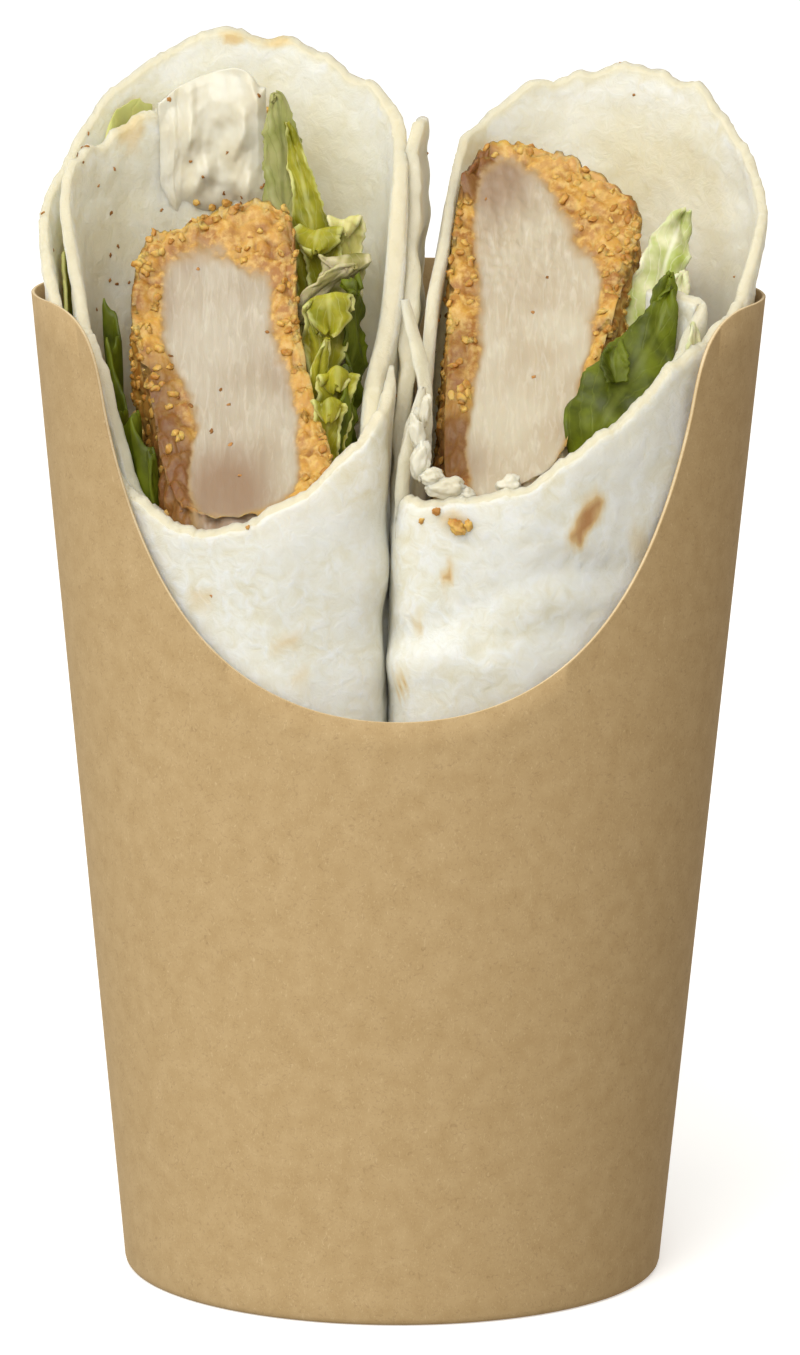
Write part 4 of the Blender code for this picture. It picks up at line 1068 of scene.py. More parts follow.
def leaf_blade(name, light, deep, rib, gloss, veined_by, rim_highlight, sauced=0.0):
    """A fresh leaf, waxy and a little see-through: a pale rib down the middle with veins that branch off."""
    material, tree, shader, where = surface(name, gloss + 0.06, 1.35)
    uv = add(tree, "ShaderNodeUVMap", uv_map="leaf")
    parts = add(tree, "ShaderNodeSeparateXYZ", {0: uv})
    centred = add(tree, MATH, {0: parts.outputs[1], 1: 0.5}, operation="SUBTRACT")
    off_rib = add(tree, MATH, {0: centred}, operation="ABSOLUTE")
    wander = add(tree, NOISE, {"Vector": where, "Scale": 300.0, "Detail": 3.0})
    swept = add(tree, MATH, {0: off_rib, 1: 0.55, 2: parts}, operation="MULTIPLY_ADD")
    strayed = add(tree, MATH, {0: wander, 1: 0.12, 2: swept}, operation="MULTIPLY_ADD")
    veins_along = add(tree, MATH, {0: strayed, 1: 0.05}, operation="PINGPONG")
    vein = add(tree, RANGE, {0: veins_along, 1: 0.010, 2: 0.0, 4: 0.6})
    middle_rib = add(tree, RANGE, {0: off_rib, 1: 0.07, 2: 0.02})
    ribs = add(tree, MATH, {0: vein, 1: middle_rib}, operation="MAXIMUM")
    shown = add(tree, MATH, {0: ribs, 1: veined_by}, operation="MULTIPLY")
    clouds = add(tree, NOISE, {"Vector": where, "Scale": 210.0, "Detail": 3.0})
    cloud = add(tree, RANGE, {0: clouds, 1: 0.36, 2: 0.66})
    blade = add(tree, MIX, {FACTOR: cloud, FIRST: light, SECOND: deep}, data_type="RGBA")
    veined = add(tree, MIX, {FACTOR: shown, FIRST: blade, SECOND: rib}, data_type="RGBA")
    # Painted highlight: the blade's long edges are lightened towards the rib's colour, as if they caught the
    # light.
    lip = add(tree, RANGE, {0: off_rib, 1: 0.38, 2: 0.5, 4: rim_highlight})
    rim_highlighted = add(tree, MIX, {FACTOR: lip, FIRST: veined, SECOND: rib}, data_type="RGBA")
    smear = add(tree, NOISE, {"Vector": where, "Scale": 260.0, "Detail": 2.0})
    coat = add(tree, RANGE, {0: smear, 1: 0.44, 2: 0.58, 4: sauced})
    dressed = add(tree, MIX, {FACTOR: coat, FIRST: rim_highlighted, SECOND: "c9be96"}, data_type="RGBA")
    bump = add(tree, BUMP, {"Height": ribs, "Strength": 0.3, "Distance": 0.0002}, invert=True)
    crinkle = add(tree, BUMP, {"Height": clouds, "Strength": 0.4, "Distance": 0.0004, "Normal": bump})
    add(tree, shader, {"Base Color": dressed, "Normal": crinkle})
    add(tree, shader, dict(zip(SINKS_IN, (0.3, (0.6, 1.0, 0.3), 0.0012))))
    return material


GREENS = {
    "lime": leaf_blade("romaine_bright", "aea62a", "7e7d12", "d8d890", 0.34, 0.25, 0.75),
    "yellow": leaf_blade("romaine_heart", "d2ca84", "bdb658", "e8e3bc", 0.38, 0.2, 0.6),
    "pale": leaf_blade("romaine_rib", "e6e2bc", "a9b456", "efecd6", 0.38, 0.5, 0.4),
    "deep": leaf_blade("spinach_deep", "6c7610", "434a04", "838b34", 0.42, 0.3, 0.0),
    "olive": leaf_blade("spinach_dressed", "b2b070", "8c8f4a", "6c7030", 0.32, 0.6, 0.0, 0.15),
    "sauced": leaf_blade("romaine_dressed", "aca268", "7c7836", "d0c798", 0.20, 0.3, 0.5, 0.85),
}

# Name, green, slot name and lobes. Each lobe is its spine from the free tip down, half widths, the
# direction of its width, curl in radians and ruffle. Lengths are in millimetres.
LEAVES = (
    ("leaf_left_dark", "olive", "spinach", (
        (((-19.0, 12.8, 180.0), (-18.4, 13.0, 180.6), (-17.7, 12.2, 176), (-17.3, 11.0, 169),
          (-17.0, 9.8, 160), (-16.8, 9.0, 140), (-16.8, 8.8, 118)),
         (0.4, 1.2, 2.5, 3.2, 3.1, 2.7, 2.2), (1, 0.15, 0), -0.9, 0.35),
    )),
    ("leaf_left_bright", "lime", "romaine", (
        (((-16.8, 10.2, 176.8), (-16.2, 9.6, 175), (-15.0, 8.4, 170), (-13.9, 6.9, 165.4),
          (-13.4, 5.6, 162.6), (-13.2, 5.4, 157), (-13.0, 4.8, 140), (-13.0, 4.4, 122)),
         (0.3, 0.9, 1.6, 2.6, 3.3, 2.8, 2.0, 1.8), (1, 0.1, 0), -1.0, 0.5),
        (((-12.6, 1.6, 158.2), (-12.4, 2.6, 160.8), (-12.0, 3.8, 161.4), (-11.7, 4.4, 158), (-11.4, 4.6, 152),
          (-11.4, 4.6, 138)), (2.8, 3.4, 3.6, 3.2, 2.4, 1.8), (1, 0.05, 0.12), 0.9, 0.8),
    )),
    ("leaf_left_yellow", "yellow", "romaine", (
        (((-8.7, 3.8, 160.6), (-8.5, 4.4, 162.4), (-8.2, 5.0, 162.6), (-7.8, 5.4, 160), (-7.5, 5.6, 155),
          (-7.3, 5.4, 142), (-7.2, 5.2, 122)), (1.8, 2.4, 2.6, 2.2, 1.7, 1.3, 1.1), (1, 0.1, 0.1), 0.8, 0.6),
    )),
    ("leaf_left_sauced", "sauced", "sauced_lettuce", (
        (((-8.4, -2.2, 155.6), (-8.3, -1.2, 157.6), (-8.3, -0.2, 157.8), (-8.4, 0.4, 155), (-8.8, 0.4, 150),
          (-9.6, 0.2, 138), (-10.0, 0, 120)), (3.0, 3.8, 4.0, 3.6, 3.0, 2.4, 2.1), (1, 0.1, 0.2), 0.9, 0.8),
        (((-7.2, -2.0, 156.8), (-9.6, -3.2, 155.4), (-12.2, -3.6, 152.8), (-14.2, -3.4, 150.2),
          (-15.4, -2.8, 148)), (0.9, 1.5, 1.7, 1.5, 0.8), (0.35, -0.2, 1), 0.9, 0.3),
    )),
    ("leaf_left_curl", "lime", "romaine", (
        (((-10.4, -11.0, 147.6), (-10.4, -10.0, 151.6), (-10.6, -8.4, 153.2), (-10.8, -7.1, 151),
          (-11.0, -7.0, 147), (-10.8, -7.2, 139), (-10.6, -7.4, 126), (-10.5, -7.6, 110)),
         (2.8, 3.6, 3.8, 3.6, 3.2, 2.6, 2.2, 2.0), (1, 0.1, 0.15), 1.0, 0.9),
        (((-12.0, -9.8, 147.4), (-12.1, -9.2, 149.2), (-12.0, -8.6, 148.6), (-11.8, -8.4, 144),
          (-11.6, -8.4, 134)), (0.8, 1.5, 1.8, 1.6, 1.2), (1, 0, -0.2), -1.3, 0.5),
    )),
    ("leaf_left_fold", "lime", "romaine", (
        (((-10.6, -13.2, 147.0), (-11.1, -12.9, 145), (-11.7, -12.6, 141), (-12.0, -12.4, 136),
          (-11.8, -12.2, 130)), (0.5, 0.9, 1.3, 1.4, 1.2), (1, 0.1, 0.1), 1.0, 0.2),
        (((-8.7, -16.8, 139.8), (-8.8, -16.0, 142.0), (-8.9, -15.0, 142.6), (-9.0, -14.4, 140),
          (-9.0, -14.2, 135), (-8.8, -14.4, 124), (-8.7, -14.8, 106)),
         (2.2, 3.0, 3.2, 3.0, 2.7, 2.2, 1.8), (1, 0.1, 0.1), 1.0, 0.8),
        (((-10.0, -19.2, 135.6), (-10.1, -18.6, 137.8), (-10.1, -17.8, 138.4), (-10.0, -17.2, 136),
          (-9.8, -17.0, 130), (-9.6, -17, 118)), (1.8, 2.4, 2.5, 2.3, 2.0, 1.6), (1, 0.1, 0.1), 1.0, 0.6),
    )),
    ("leaf_left_behind", "deep", "spinach", (
        (((-6.9, -5.4, 153.0), (-6.8, -4.8, 154.4), (-6.7, -4.6, 152), (-6.7, -5.2, 146), (-6.8, -6.2, 132),
          (-6.8, -7.2, 110)), (0.8, 2.0, 2.9, 3.4, 3.2, 2.8), (0.45, 0.9, 0), 0.5, 0.6),
        (((-7.4, -13.6, 143.0), (-7.2, -13.8, 140.6), (-7.1, -14.4, 136), (-7.1, -14.8, 128),
          (-7.2, -14.8, 116)), (0.5, 1.5, 2.3, 2.3, 2.0), (0.55, 0.83, 0), 0.6, 0.5),
    )),
    ("leaf_right_pale", "pale", "romaine", (
        (((41.6, 1.4, 164.9), (41.0, 0.8, 163.6), (40.2, -1.0, 160), (39.2, -3.0, 155.6), (38.2, -4.8, 151),
          (37.6, -6.0, 146), (37.4, -6.4, 136), (37.4, -6.4, 114)),
         (1.3, 2.2, 3.2, 4.1, 4.6, 4.5, 3.4, 2.8), (1, 0.3, 0), -0.8, 1.1),
        (((42.6, -5.4, 156.4), (42.2, -6.0, 155.2), (41.8, -6.6, 152), (41.6, -7.0, 146), (41.4, -7.0, 136)),
         (0.5, 1.7, 2.0, 1.8, 1.5), (1, 0.1, 0.3), 1.2, 0.5),
        (((44.0, -17.0, 150.2), (44.2, -17.6, 149.2), (44.2, -18.0, 146), (44.0, -18.0, 138)),
         (0.6, 1.1, 1.2, 1.0), (0.75, 0.65, 0.1), 0.5, 0.2),
    )),
    ("leaf_right_spinach", "deep", "spinach", (
        (((40.4, -12.4, 154.8), (39.6, -13.8, 151.5), (38.0, -16.0, 147.3), (35.2, -19.4, 142.2),
          (32.6, -22.4, 138.4), (31.0, -24.2, 134.8), (31.8, -24.2, 128), (33.4, -23.4, 112)),
         (0.8, 2.4, 4.4, 6.0, 6.0, 5.2, 3.4, 2.6), (0.80, 0.30, 0.35), -0.45, 0.8),
        (((33.6, -18.2, 147.4), (33.0, -19.4, 146.6), (32.8, -20.4, 144.6), (33.2, -21.0, 142)),
         (1.2, 1.9, 2.2, 1.8), (0.8, 0.3, 0.5), 0.9, 0.4),
    )),
    ("leaf_right_tuck", "deep", "spinach", (
        (((40.0, -11.6, 157), (39.4, -12.3, 153.5), (39.2, -12.8, 148), (39.2, -13.2, 134),
          (39.2, -13.2, 114)), (0.8, 1.9, 2.0, 1.8, 1.6), (1, 0.2, 0), 0.5, 0.2),
    )),
)

# How far down a leaf's tip is rounded, and how long the waves of its ruffled rim are.
TIP_ROUND = 0.0030
RUFFLE_LENGTH = 0.0068


def tucked_lobe(side, spine_mm, half_widths_mm, across, curl, ruffle_mm):
    """One lobe of a leaf. Its spine runs from its free tip down into the roll. Curl bends it round its spine,
    less towards its root, and its rim ruffles in waves about RUFFLE_LENGTH long."""
    width_line = Vector(across).normalized()
    start = spine_mm[0][0] + spine_mm[0][1]
    torn = min(0.34, 4.0 / max(half_widths_mm) ** 2)
    path = [Vector(curve_through(spine_mm, k / 200)) for k in range(201)]
    path = [in_roll(side, p.x, p.y, p.z / 1000) for p in path]
    lengths = [0.0]
    for a, b in zip(path, path[1:]):
        lengths.append(lengths[-1] + (b - a).length)

    def spine(s):
        i = min(max(int(np.searchsorted(lengths, s)), 1), 200)
        f = (s - lengths[i - 1]) / (lengths[i] - lengths[i - 1])
        return path[i - 1].lerp(path[i], f), (i - 1 + f) / 200

    def point(u, v):
        s = lengths[-1] * u**1.7
        place, share = spine(s)
        ahead = (spine(s + 0.0005)[0] - spine(s - 0.0005)[0]).normalized()
        wide = (width_line - ahead * width_line.dot(ahead)).normalized()
        out = ahead.cross(wide)
        t = 2 * v - 1
        half = curve_through([(w,) for w in half_widths_mm], share)[0] / 1000
        half *= 1 + torn * noise.noise(Vector((s * 300, 3.0 * (t > 0), start)))
        half *= 1 + 0.5 * torn * noise.noise(Vector((s * 1300, 5.0 * (t > 0), start)))
        half *= math.sqrt(min(1.0, (s + 0.0001) / TIP_ROUND) * (2 - min(1.0, s / TIP_ROUND)))
        bend = curl * (0.55 + 0.45 * math.cos(s * 420 + start))
        bend = bend if abs(bend) > 0.01 else 0.01
        wave = math.sin(2 * math.pi * s / RUFFLE_LENGTH + 2.4 * (t > 0) + start)
        wave += 0.5 * math.sin(2 * math.pi * s / (0.6 * RUFFLE_LENGTH) + 1.1 * start)
        near_tip = math.exp(-s / TIP_ROUND)
        lift = half * (1 - math.cos(bend * t)) / bend + ruffle_mm / 1400 * wave * t * t
        lift += ruffle_mm / 900 * near_tip * math.sin(4.2 * t + 2.0 * start)
        place += ahead * (0.0011 * near_tip * noise.noise(Vector((t * 2.3, start, 2.0))))
        crinkle = 0.0007 * noise.noise(place * 160 + Vector((0, 0, 1.5 * t)))
        crinkle += 0.00014 * noise.noise(place * 620 + Vector((0, 0, 3 * t)))
        return place + wide * half * math.sin(bend * t) / bend + out * (lift + crinkle)

    return point


def between_leaf_point(u, v):
    """A lettuce leaf rolled in between the left sheet's two turns, showing as a fringe behind the flap."""
    turned = mix(112.0, 196.0, u)
    inset = PITCH + 0.0006 + 0.0001 * math.sin(turned * 0.4)
    edge = along(LEFT_EDGE, turned + 360) / 1000 - 0.0060
    edge += 0.0045 * math.exp(-(((turned - 124) / 7) ** 2)) + 0.0006 * math.sin(turned * 0.55)
    edge += 0.0009 * noise.noise(Vector((turned * 0.5, 2.0, 1.0)))
    height = row_height(0.070, edge, v)
    return roll_point(-1, turned, inset - swell(-1, turned, height), height)


SIDE_LEAF_MM = ((-43.8, 1.5), (-43.5, -4.0), (-42.4, -10.0), (-40.5, -15.0), (-38.4, -19.0), (-36.6, -21.6))


def side_leaf_point(u, v):
    """A lettuce leaf standing between the left fillet and the outer side of its roll."""
    x, y = curve_through(SIDE_LEAF_MM, u)
    edge = on_cut(-1, x / 1000, y / 1000) + 0.0012 + 0.0010 * math.sin(21 * u) + 0.0005 * math.sin(47 * u)
    edge += 0.0012 * noise.noise(Vector((u * 31, 1.0, 4.0)))
    edge -= 0.0095 * (1 - smooth(0.34, 0.66, u)) - 0.007 * math.exp(-(((u - 0.24) / 0.045) ** 2))
    wave = 1.0 * math.sin(26 * u + 5 * v) * v**2 + 0.5 * noise.noise(Vector((u * 22, v * 6, 8.0)))
    return in_roll(-1, x + wave, y + 0.3 * wave, mix(0.075, edge, v))


between = leaf_body("leaf_left_between_turns", [between_leaf_point], 90, 40, GREENS["lime"])
beside = leaf_body("leaf_left_side_fringe", [side_leaf_point], 130, 70, GREENS["deep"])
leaves = [(between, "leaf_left_between", "romaine"), (beside, "leaf_left_side", "romaine")]
for node, green, slot, lobes in LEAVES:
    side = -1 if "left" in node else 1
    shapes = [tucked_lobe(side, *lobe) for lobe in lobes]
    leaves.append((leaf_body(node + "_blade", shapes, 120, 30, GREENS[green]), node, slot))
for made, node, slot in leaves:
    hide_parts(node)
    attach(made, "root")

# ---------------------------------------------------------------- the sauce
# A thick white yoghurt and mayonnaise dressing. It lies in a lumpy mass on the left roll's inner flap, and a
# few drops of it were squeezed out at the lip of the right roll.


def white_sauce():
    """Thick white dressing, wet and soft: a smooth satin gloss over a warm white that light sinks into."""
    material, tree, shader, where = surface("white_dressing", 0.28, 1.4)
    clouds = add(tree, NOISE, {"Vector": where, "Scale": 190.0, "Detail": 3.0})
    cloud = add(tree, RANGE, {0: clouds, 1: 0.35, 2: 0.68})
    cream = add(tree, MIX, {FACTOR: cloud, FIRST: "dfdbc9", SECOND: "d4ccb2"}, data_type="RGBA")
    ripple = add(tree, NOISE, {"Vector": where, "Scale": 620.0, "Detail": 2.0})
    bump = add(tree, BUMP, {"Height": ripple, "Strength": 0.2, "Distance": 0.00015})
    add(tree, shader, {"Base Color": cream, "Normal": bump})
    add(tree, shader, dict(zip(SINKS_IN, (0.4, (1.0, 0.85, 0.6), 0.002))))
    return material


dressing = white_sauce()

# The mass of sauce on the flap, as heaps: degrees turned along the sheet, height, half sizes in degrees and
# millimetres, and thickness in millimetres.
HEAPS = (
    (92.0, 177.5, 14.0, 6.5, 1.6), (100.0, 173.0, 13.0, 6.0, 1.8), (85.0, 171.5, 11.0, 7.0, 2.1),
    (93.0, 167.0, 10.0, 4.4, 1.9), (109.0, 174.5, 8.0, 4.0, 1.1), (79.0, 165.8, 6.0, 3.4, 1.6),
    (102.0, 167.0, 6.0, 3.2, 1.0), (79.0, 178.0, 8.0, 6.0, 1.4), (108.0, 171.0, 19.0, 8.0, 0.75),
)


def sauce_depth(turned, height):
    """How thick the sauce lies at a place on the flap, in metres. Below 0 there is none."""
    height_mm = height * 1000
    stray = Vector((turned * 0.16, height_mm * 0.22, 1.7))
    slow, fast = noise.noise(stray), noise.noise(stray * 2.7)
    found = 0.0
    for at_turn, at_height, half_turn, half_height, thick in HEAPS:
        off = ((turned - at_turn) / half_turn) ** 2 + ((height_mm - at_height) / half_height) ** 2
        found += thick**2 * max(0.0, 1.15 - off + 0.35 * slow) ** 2
    body = math.sqrt(found)
    return (body * (1 + 0.34 * slow + 0.09 * fast) - 0.35) / 1000


def flap_sauce():
    """The mass on the flap as one closed body: its back lies in the dough, and its free face is lumpy."""
    columns, rows = 150, 130
    starts, ends, lowest = LEFT_START - 2.6, 118.0, 0.158
    grids = [[], []]
    for i in range(columns + 1):
        turned = mix(starts, ends, i / columns)
        top = along(LEFT_EDGE, turned) / 1000 + 0.0008
        for j in range(rows + 1):
            height = mix(lowest, top, j / rows)
            # The mass thins out towards its own four edges.
            from_edges = (16 * i / columns, 12 * (1 - i / columns), 12 * j / rows, 18 * (1 - j / rows))
            rim = min(1.0, *from_edges) ** 0.5
            deep = left_inset(turned, height) - swell(-1, turned, height) + 0.0002
            proud = max(-0.0006, sauce_depth(turned, height)) * rim - 0.0004 * (1 - rim)
            grids[0].append(roll_point(-1, turned, deep, height))
            grids[1].append(roll_point(-1, turned, deep + TORTILLA / 2 + proud, height))
    return piece("dressing_on_flap", grids[0] + grids[1], thin_faces(columns, rows), dressing, crease=120)


sauce = flap_sauce()
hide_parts("sauce_left")
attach(sauce, "root")


def lumps(name, places, knobs, material):
    """Small soft lumps as one mesh: centre, half sizes in millimetres and lean in degrees of each."""
    shape = bmesh.new()
    for k, (centre, half, lean) in enumerate(places):
        made = bmesh.ops.create_icosphere(shape, subdivisions=4 if max(half) > 1.2 else 3, radius=1.0)
        tilt = Matrix.Rotation(math.radians(lean), 3, "Y")
        for vert in made["verts"]:
            way = vert.co.copy()
            stray = 1 + knobs * noise.noise(way * 1.6 + Vector((7.3 * k, 0, 0)))
            stray += 0.5 * knobs * noise.noise(way * 4.1 + Vector((3.1 * k, 0, 0)))
            scaled = Vector((way.x * half[0], way.y * half[1], way.z * half[2])) * stray
            vert.co = (Vector(centre) + tilt @ scaled) / 1000
    data = bpy.data.meshes.new(name)
    shape.to_mesh(data)
    shape.free()
    data.materials.append(material)
    data.shade_smooth()
    return in_scene(name, data)


# Squeezed out at the lip of the right roll and up the corner between the rolls: each drop's centre and half
# sizes in millimetres, and its lean.
SQUEEZED_OUT = (
    ((7.4, -31.4, 127.8), (3.0, 1.5, 1.5), -8), ((9.8, -31.0, 127.0), (1.7, 1.3, 1.0), 20),
    ((5.2, -31.0, 129.2), (1.7, 1.5, 1.5), 0), ((16.6, -31.2, 128.2), (1.9, 1.2, 1.3), -20),
    ((22.4, -30.6, 129.4), (0.9, 0.8, 0.4), -20), ((3.4, -29.4, 131.4), (1.5, 1.3, 2.8), 10),
    ((2.9, -28.2, 135.2), (1.1, 1.1, 3.0), -12), ((4.1, -27.0, 138.6), (0.8, 0.9, 2.6), 8),
)
drops = lumps("dressing_squeezed_out", SQUEEZED_OUT, 0.3, dressing)
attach(drops, "root")

# ---------------------------------------------------------------- torn dough between the rolls
# Thin scraps of the sheets' torn inner ends stand in the gap between the halves, one behind the other.

# Each scrap's middle line and half widths in millimetres, from its top down between the rolls.
SCRAPS = (
    (((0.9, -9.0, 152.5), (1.9, -11.5, 149), (3.1, -14.5, 144.5), (4.1, -17.5, 139), (3.8, -20, 131),
      (2.6, -21, 118)), (0.3, 0.8, 1.1, 1.1, 1.1, 0.9), 0.35),
    (((3.6, -20.0, 141), (2.9, -22.0, 138), (1.6, -24.0, 134), (0.7, -25.0, 129), (0.6, -25.0, 118)),
     (0.2, 0.9, 1.1, 1.0, 0.8), 0.5),
    (((3.2, -24.0, 138.5), (2.2, -25.4, 135.6), (1.2, -26.8, 132), (0.7, -27.4, 127), (0.6, -27.4, 118)),
     (0.2, 0.8, 1.0, 0.9, 0.8), 0.3),
)


def scrap_lobe(line_mm, half_widths_mm, turn):
    """A scrap of dough about its middle line, turned a little away from the front."""
    wide = Vector((math.cos(turn), math.sin(turn), 0.0))

    def point(u, v):
        t = 2 * v - 1
        x, y, height = curve_through(line_mm, u)
        half = curve_through([(w,) for w in half_widths_mm], u)[0]
        half *= 1 + 0.3 * noise.noise(Vector((height * 0.45, 4.0 * (t > 0), turn)))
        bulge = 0.35 * (1 - t * t) + 0.3 * noise.noise(Vector((height * 0.3, t, turn)))
        return (Vector((x, y, height)) + wide * half * t + Vector((0, -bulge, 0))) / 1000

    return point


# How thick a scrap is.
SCRAP = 0.0011
scraps = leaf_body("torn_dough_between", [scrap_lobe(*row) for row in SCRAPS], 90, 12, dough, SCRAP)
# Painted shade: the scraps take the darker rim tone all over, for the warm shade in the gap between the
# rolls.
for title in ("rim", "inside"):
    mark(scraps, title, [1.0] * len(scraps.data.vertices))
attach(scraps, "root")

# ---------------------------------------------------------------- crumbs and herb flecks
# Fried crumbs fell on the lips as the wrap was cut, and dried herbs from the crumb stuck to dough and meat.

# Where the crumbs lie, as (x, height) on the front of the rolls, with half sizes, in millimetres.
CRUMBS_ON_FRONT = (
    (5.9, 124.5, 0.55), (8.9, 122.3, 0.9), (10.6, 122.6, 0.6), (3.6, 122.9, 0.35), (6.9, 128.6, 0.8),
    (-31.2, 163.8, 0.5), (-28.8, 163.0, 0.6), (-26.6, 163.6, 0.8), (-24.2, 163.2, 0.6), (-22.4, 164.2, 0.5),
    (-20.4, 177.0, 0.5), (-19.8, 178.6, 0.4), (-39.6, 121.6, 0.5), (-36.9, 130.6, 0.9), (-35.8, 127.9, 0.7),
    (-36.4, 129.2, 0.5), (-25.4, 122.2, 0.45), (-22.0, 122.0, 0.35), (-34.2, 126.4, 0.4),
    (18.9, 130.6, 0.3), (27.3, 136.2, 0.35), (-27.0, 121.6, 0.3),
)


def lies_at(x_mm, height_mm, bodies):
    """The first point met on the bodies from the front at a place, in millimetres."""
    before = Vector((x_mm / 1000, -0.2, height_mm / 1000))
    casts = [body.ray_cast(before, Vector((0, 1, 0))) for body in bodies]
    return min((point for met, point, facing, face in casts if met), key=lambda point: point.y) * 1000


crumb_places = []
for k, (x, height, half) in enumerate(CRUMBS_ON_FRONT):
    point = lies_at(x, height, (roll_left, roll_right, sauce))
    centre = (point.x, point.y - 0.3 * half, point.z)
    long_half = half * (1.2 + 0.3 * math.sin(7 * k))
    crumb_places.append((centre, (long_half, half * 0.8, half), 40 * k))
crumbs = lumps("fried_crumbs_fallen", crumb_places, 0.5, fried)
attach(crumbs, "root")


def dried_herb():
    """Flecks of dried herb and pepper, matt: from dark brown to tan."""
    material, tree, shader, where = surface("dried_herb_fleck", 0.7)
    tones = add(tree, NOISE, {"Vector": where, "Scale": 260.0, "Detail": 0.0})
    tone = add(tree, RANGE, {0: tones, 1: 0.40, 2: 0.60})
    colour = add(tree, MIX, {FACTOR: tone, FIRST: "8a5a22", SECOND: "b98345"}, data_type="RGBA")
    add(tree, shader, {"Base Color": colour})
    return material


herb = dried_herb()
FLECKS_FOR_EACH_M2 = 16000.0
FLECK_RADIUS = 0.00034
FLECK_HEIGHT = 0.00016


def on_left_dough(x, y, z):
    """Most flecks of the left roll lie on the flap's inner face, and a few on the rest that shows."""
    on_flap = smooth(0.146, 0.152, z) * smooth(0.002, 0.006, y) * (1 - smooth(-0.018, -0.014, x))
    on_flap *= 1 - smooth(0.0215, 0.0235, y)
    return on_flap if on_flap > 0 else 0.06 * smooth(0.100, 0.110, z)


# How thickly each piece is flecked at a place, as a share of FLECKS_FOR_EACH_M2.
FLECKED = (
    (roll_left, on_left_dough),
    (roll_right, lambda x, y, z: 0.12 * smooth(0.100, 0.120, z)),
    (sauce, lambda x, y, z: 1.6),
    (chicken_left, lambda x, y, z: 0.9 * smooth(0.115, 0.120, z)),
    (chicken_right, lambda x, y, z: 0.5 * smooth(0.115, 0.120, z)),
)
for seed, (carrier, share_at) in enumerate(FLECKED, start=11):
    mark(carrier, "flecked", [share_at(*vert.co) for vert in carrier.data.vertices])
    flecks = scattered(
        "herb_flecks_" + carrier.name, carrier, "flecked", FLECKS_FOR_EACH_M2, FLECK_RADIUS, FLECK_HEIGHT,
        seed, herb,
    )
    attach(flecks, "root")

# ---------------------------------------------------------------- the floor, the light and the camera
# A plain pale floor and soft daylight from a large source high on the left.

FLOOR_HALF = 6.0
floor_material, tree, shader, where = surface("pale_floor_paint", 0.8)
paint = add(tree, NOISE, {"Vector": where, "Scale": 2.0, "Detail": 2.0})
shade = add(tree, MIX, {FACTOR: paint, FIRST: "fbfbfa", SECOND: "f8f8f6"}, data_type="RGBA")
add(tree, shader, {"Base Color": shade, "Emission Color": "ffffff", "Emission Strength": 0.4})
corners = [(x * FLOOR_HALF, y * FLOOR_HALF, 0) for x, y in ((-1, -1), (1, -1), (1, 1), (-1, 1))]
floor = piece("pale_floor", corners, [(0, 1, 2, 3)], floor_material, crease=40)
# The floor's own light doesn't reach the food.
floor.visible_diffuse = False

# The room is bright and neutral towards the window side, and dim and warm away from it.
BRIGHT_SIDE = Vector((-0.60, -0.24, 0.76)).normalized()
ROOM_BRIGHT = (0.73, 0.73, 0.71, 1.0)
ROOM_DIM = (0.26, 0.205, 0.140, 1.0)
world = bpy.data.worlds.new("soft_studio")
bpy.context.scene.world = world
world.use_nodes = True
room = world.node_tree
heading = add(room, "ShaderNodeTexCoord").outputs["Generated"]
towards = add(room, "ShaderNodeVectorMath", {0: heading, 1: BRIGHT_SIDE}, operation="DOT_PRODUCT")
share = add(room, RANGE, {0: towards.outputs["Value"], 1: -1.0, 2: 1.0})
shade = add(room, MIX, {FACTOR: share, FIRST: ROOM_DIM, SECOND: ROOM_BRIGHT}, data_type="RGBA")
add(room, room.nodes["Background"], {"Color": shade})

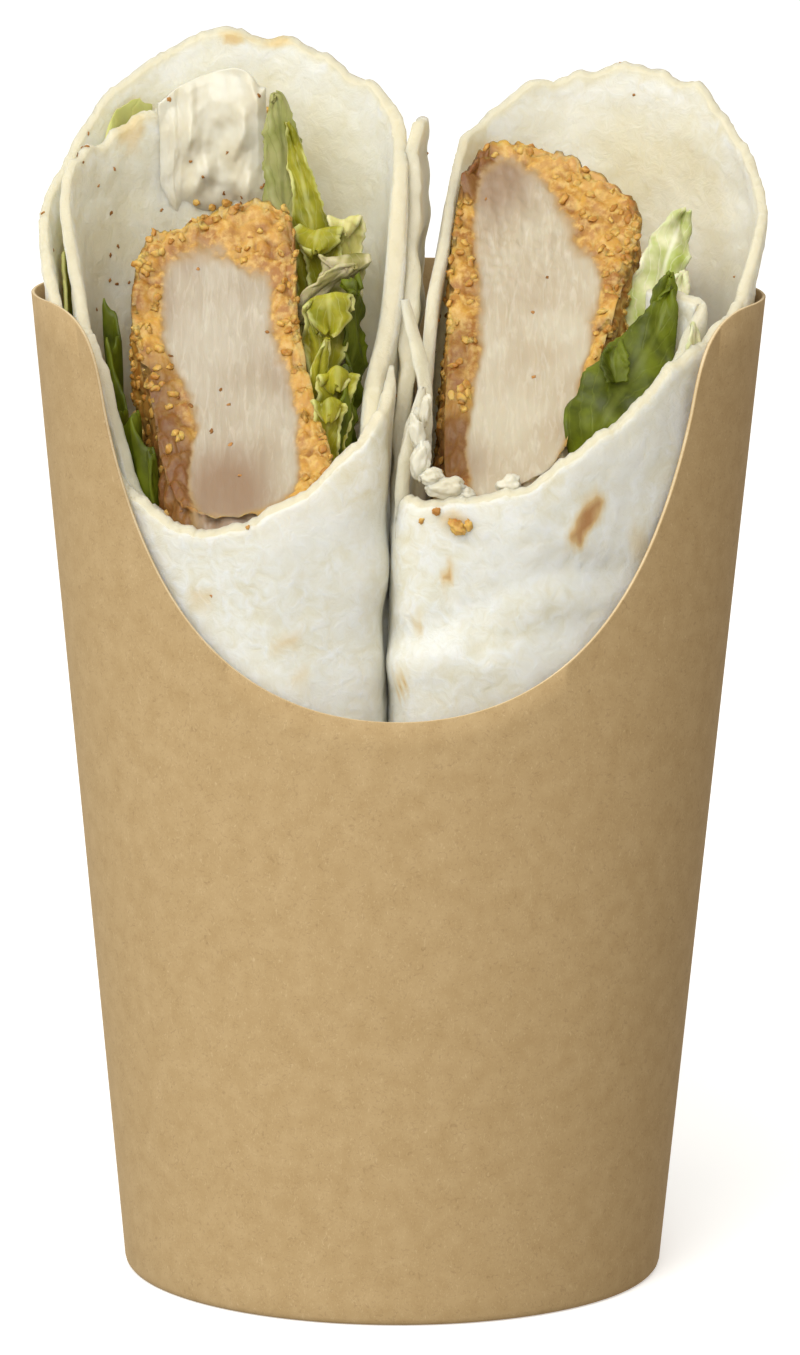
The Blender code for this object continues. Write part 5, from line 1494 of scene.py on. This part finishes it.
# The key light is a broad sun: degrees to the left, degrees up, degrees across.
SUN_SIDE = 50.0
SUN_HEIGHT = 40.0
SUN_ACROSS = 50.0
SUN_ENERGY = 0.70
SUN_COLOUR = (1.0, 0.99, 0.965)
sun_data = bpy.data.lights.new("soft_key", "SUN")
sun_data.energy = SUN_ENERGY
sun_data.angle = math.radians(SUN_ACROSS)
sun_data.color = SUN_COLOUR
sun = in_scene("soft_key", sun_data)
side_angle, up_angle = math.radians(SUN_SIDE), math.radians(SUN_HEIGHT)
level = math.cos(up_angle)
to_sun = Vector((-level * math.sin(side_angle), -level * math.cos(side_angle), math.sin(up_angle)))
sun.rotation_mode = "QUATERNION"
sun.rotation_quaternion = to_sun.to_track_quat("Z", "Y")

# A soft box above the front lights the inside of the rolls.
FILL_PLACE = Vector((-0.25, -1.0, 0.95))
FILL_AIM = Vector((0, 0, 0.13))
FILL_SIZE = 0.9
FILL_WATTS = 10.8
fill_data = bpy.data.lights.new("soft_box", "AREA")
fill_data.size = FILL_SIZE
fill_data.energy = FILL_WATTS
fill = in_scene("soft_box", fill_data)
fill.location = FILL_PLACE
fill.rotation_mode = "QUATERNION"
fill.rotation_quaternion = (FILL_PLACE - FILL_AIM).to_track_quat("Z", "Y")

# The camera stands a metre off with a long lens. The frame's sizes and the middle of the cup are in pixels.
FRAME_WIDTH, FRAME_HEIGHT = 800, 1355
CAMERA_DISTANCE = 1.0
CAMERA_ELEVATION = 11.4
CAMERA_ROLL = 0.37
AIM_HEIGHT = 0.0927
FOCAL_PIXELS = 6500.0
MIDDLE_PIXEL = 396
camera_data = bpy.data.cameras.new("camera")
camera_data.sensor_fit = "VERTICAL"
camera_data.sensor_height = 36
camera_data.lens = FOCAL_PIXELS / FRAME_HEIGHT * camera_data.sensor_height
camera_data.shift_x = (FRAME_WIDTH / 2 - MIDDLE_PIXEL) / FRAME_HEIGHT
camera = in_scene("camera", camera_data)
elevation = math.radians(CAMERA_ELEVATION)
back = Vector((0, -math.cos(elevation), math.sin(elevation)))
facing = (-back).to_track_quat("-Z", "Y").to_matrix().to_4x4()
camera.matrix_world = (
    Matrix.Translation(Vector((0, 0, AIM_HEIGHT)) + back * CAMERA_DISTANCE)
    @ facing
    @ Matrix.Rotation(math.radians(CAMERA_ROLL), 4, "Z")
)
bpy.context.scene.camera = camera
bpy.context.scene.view_settings.view_transform = "Standard"
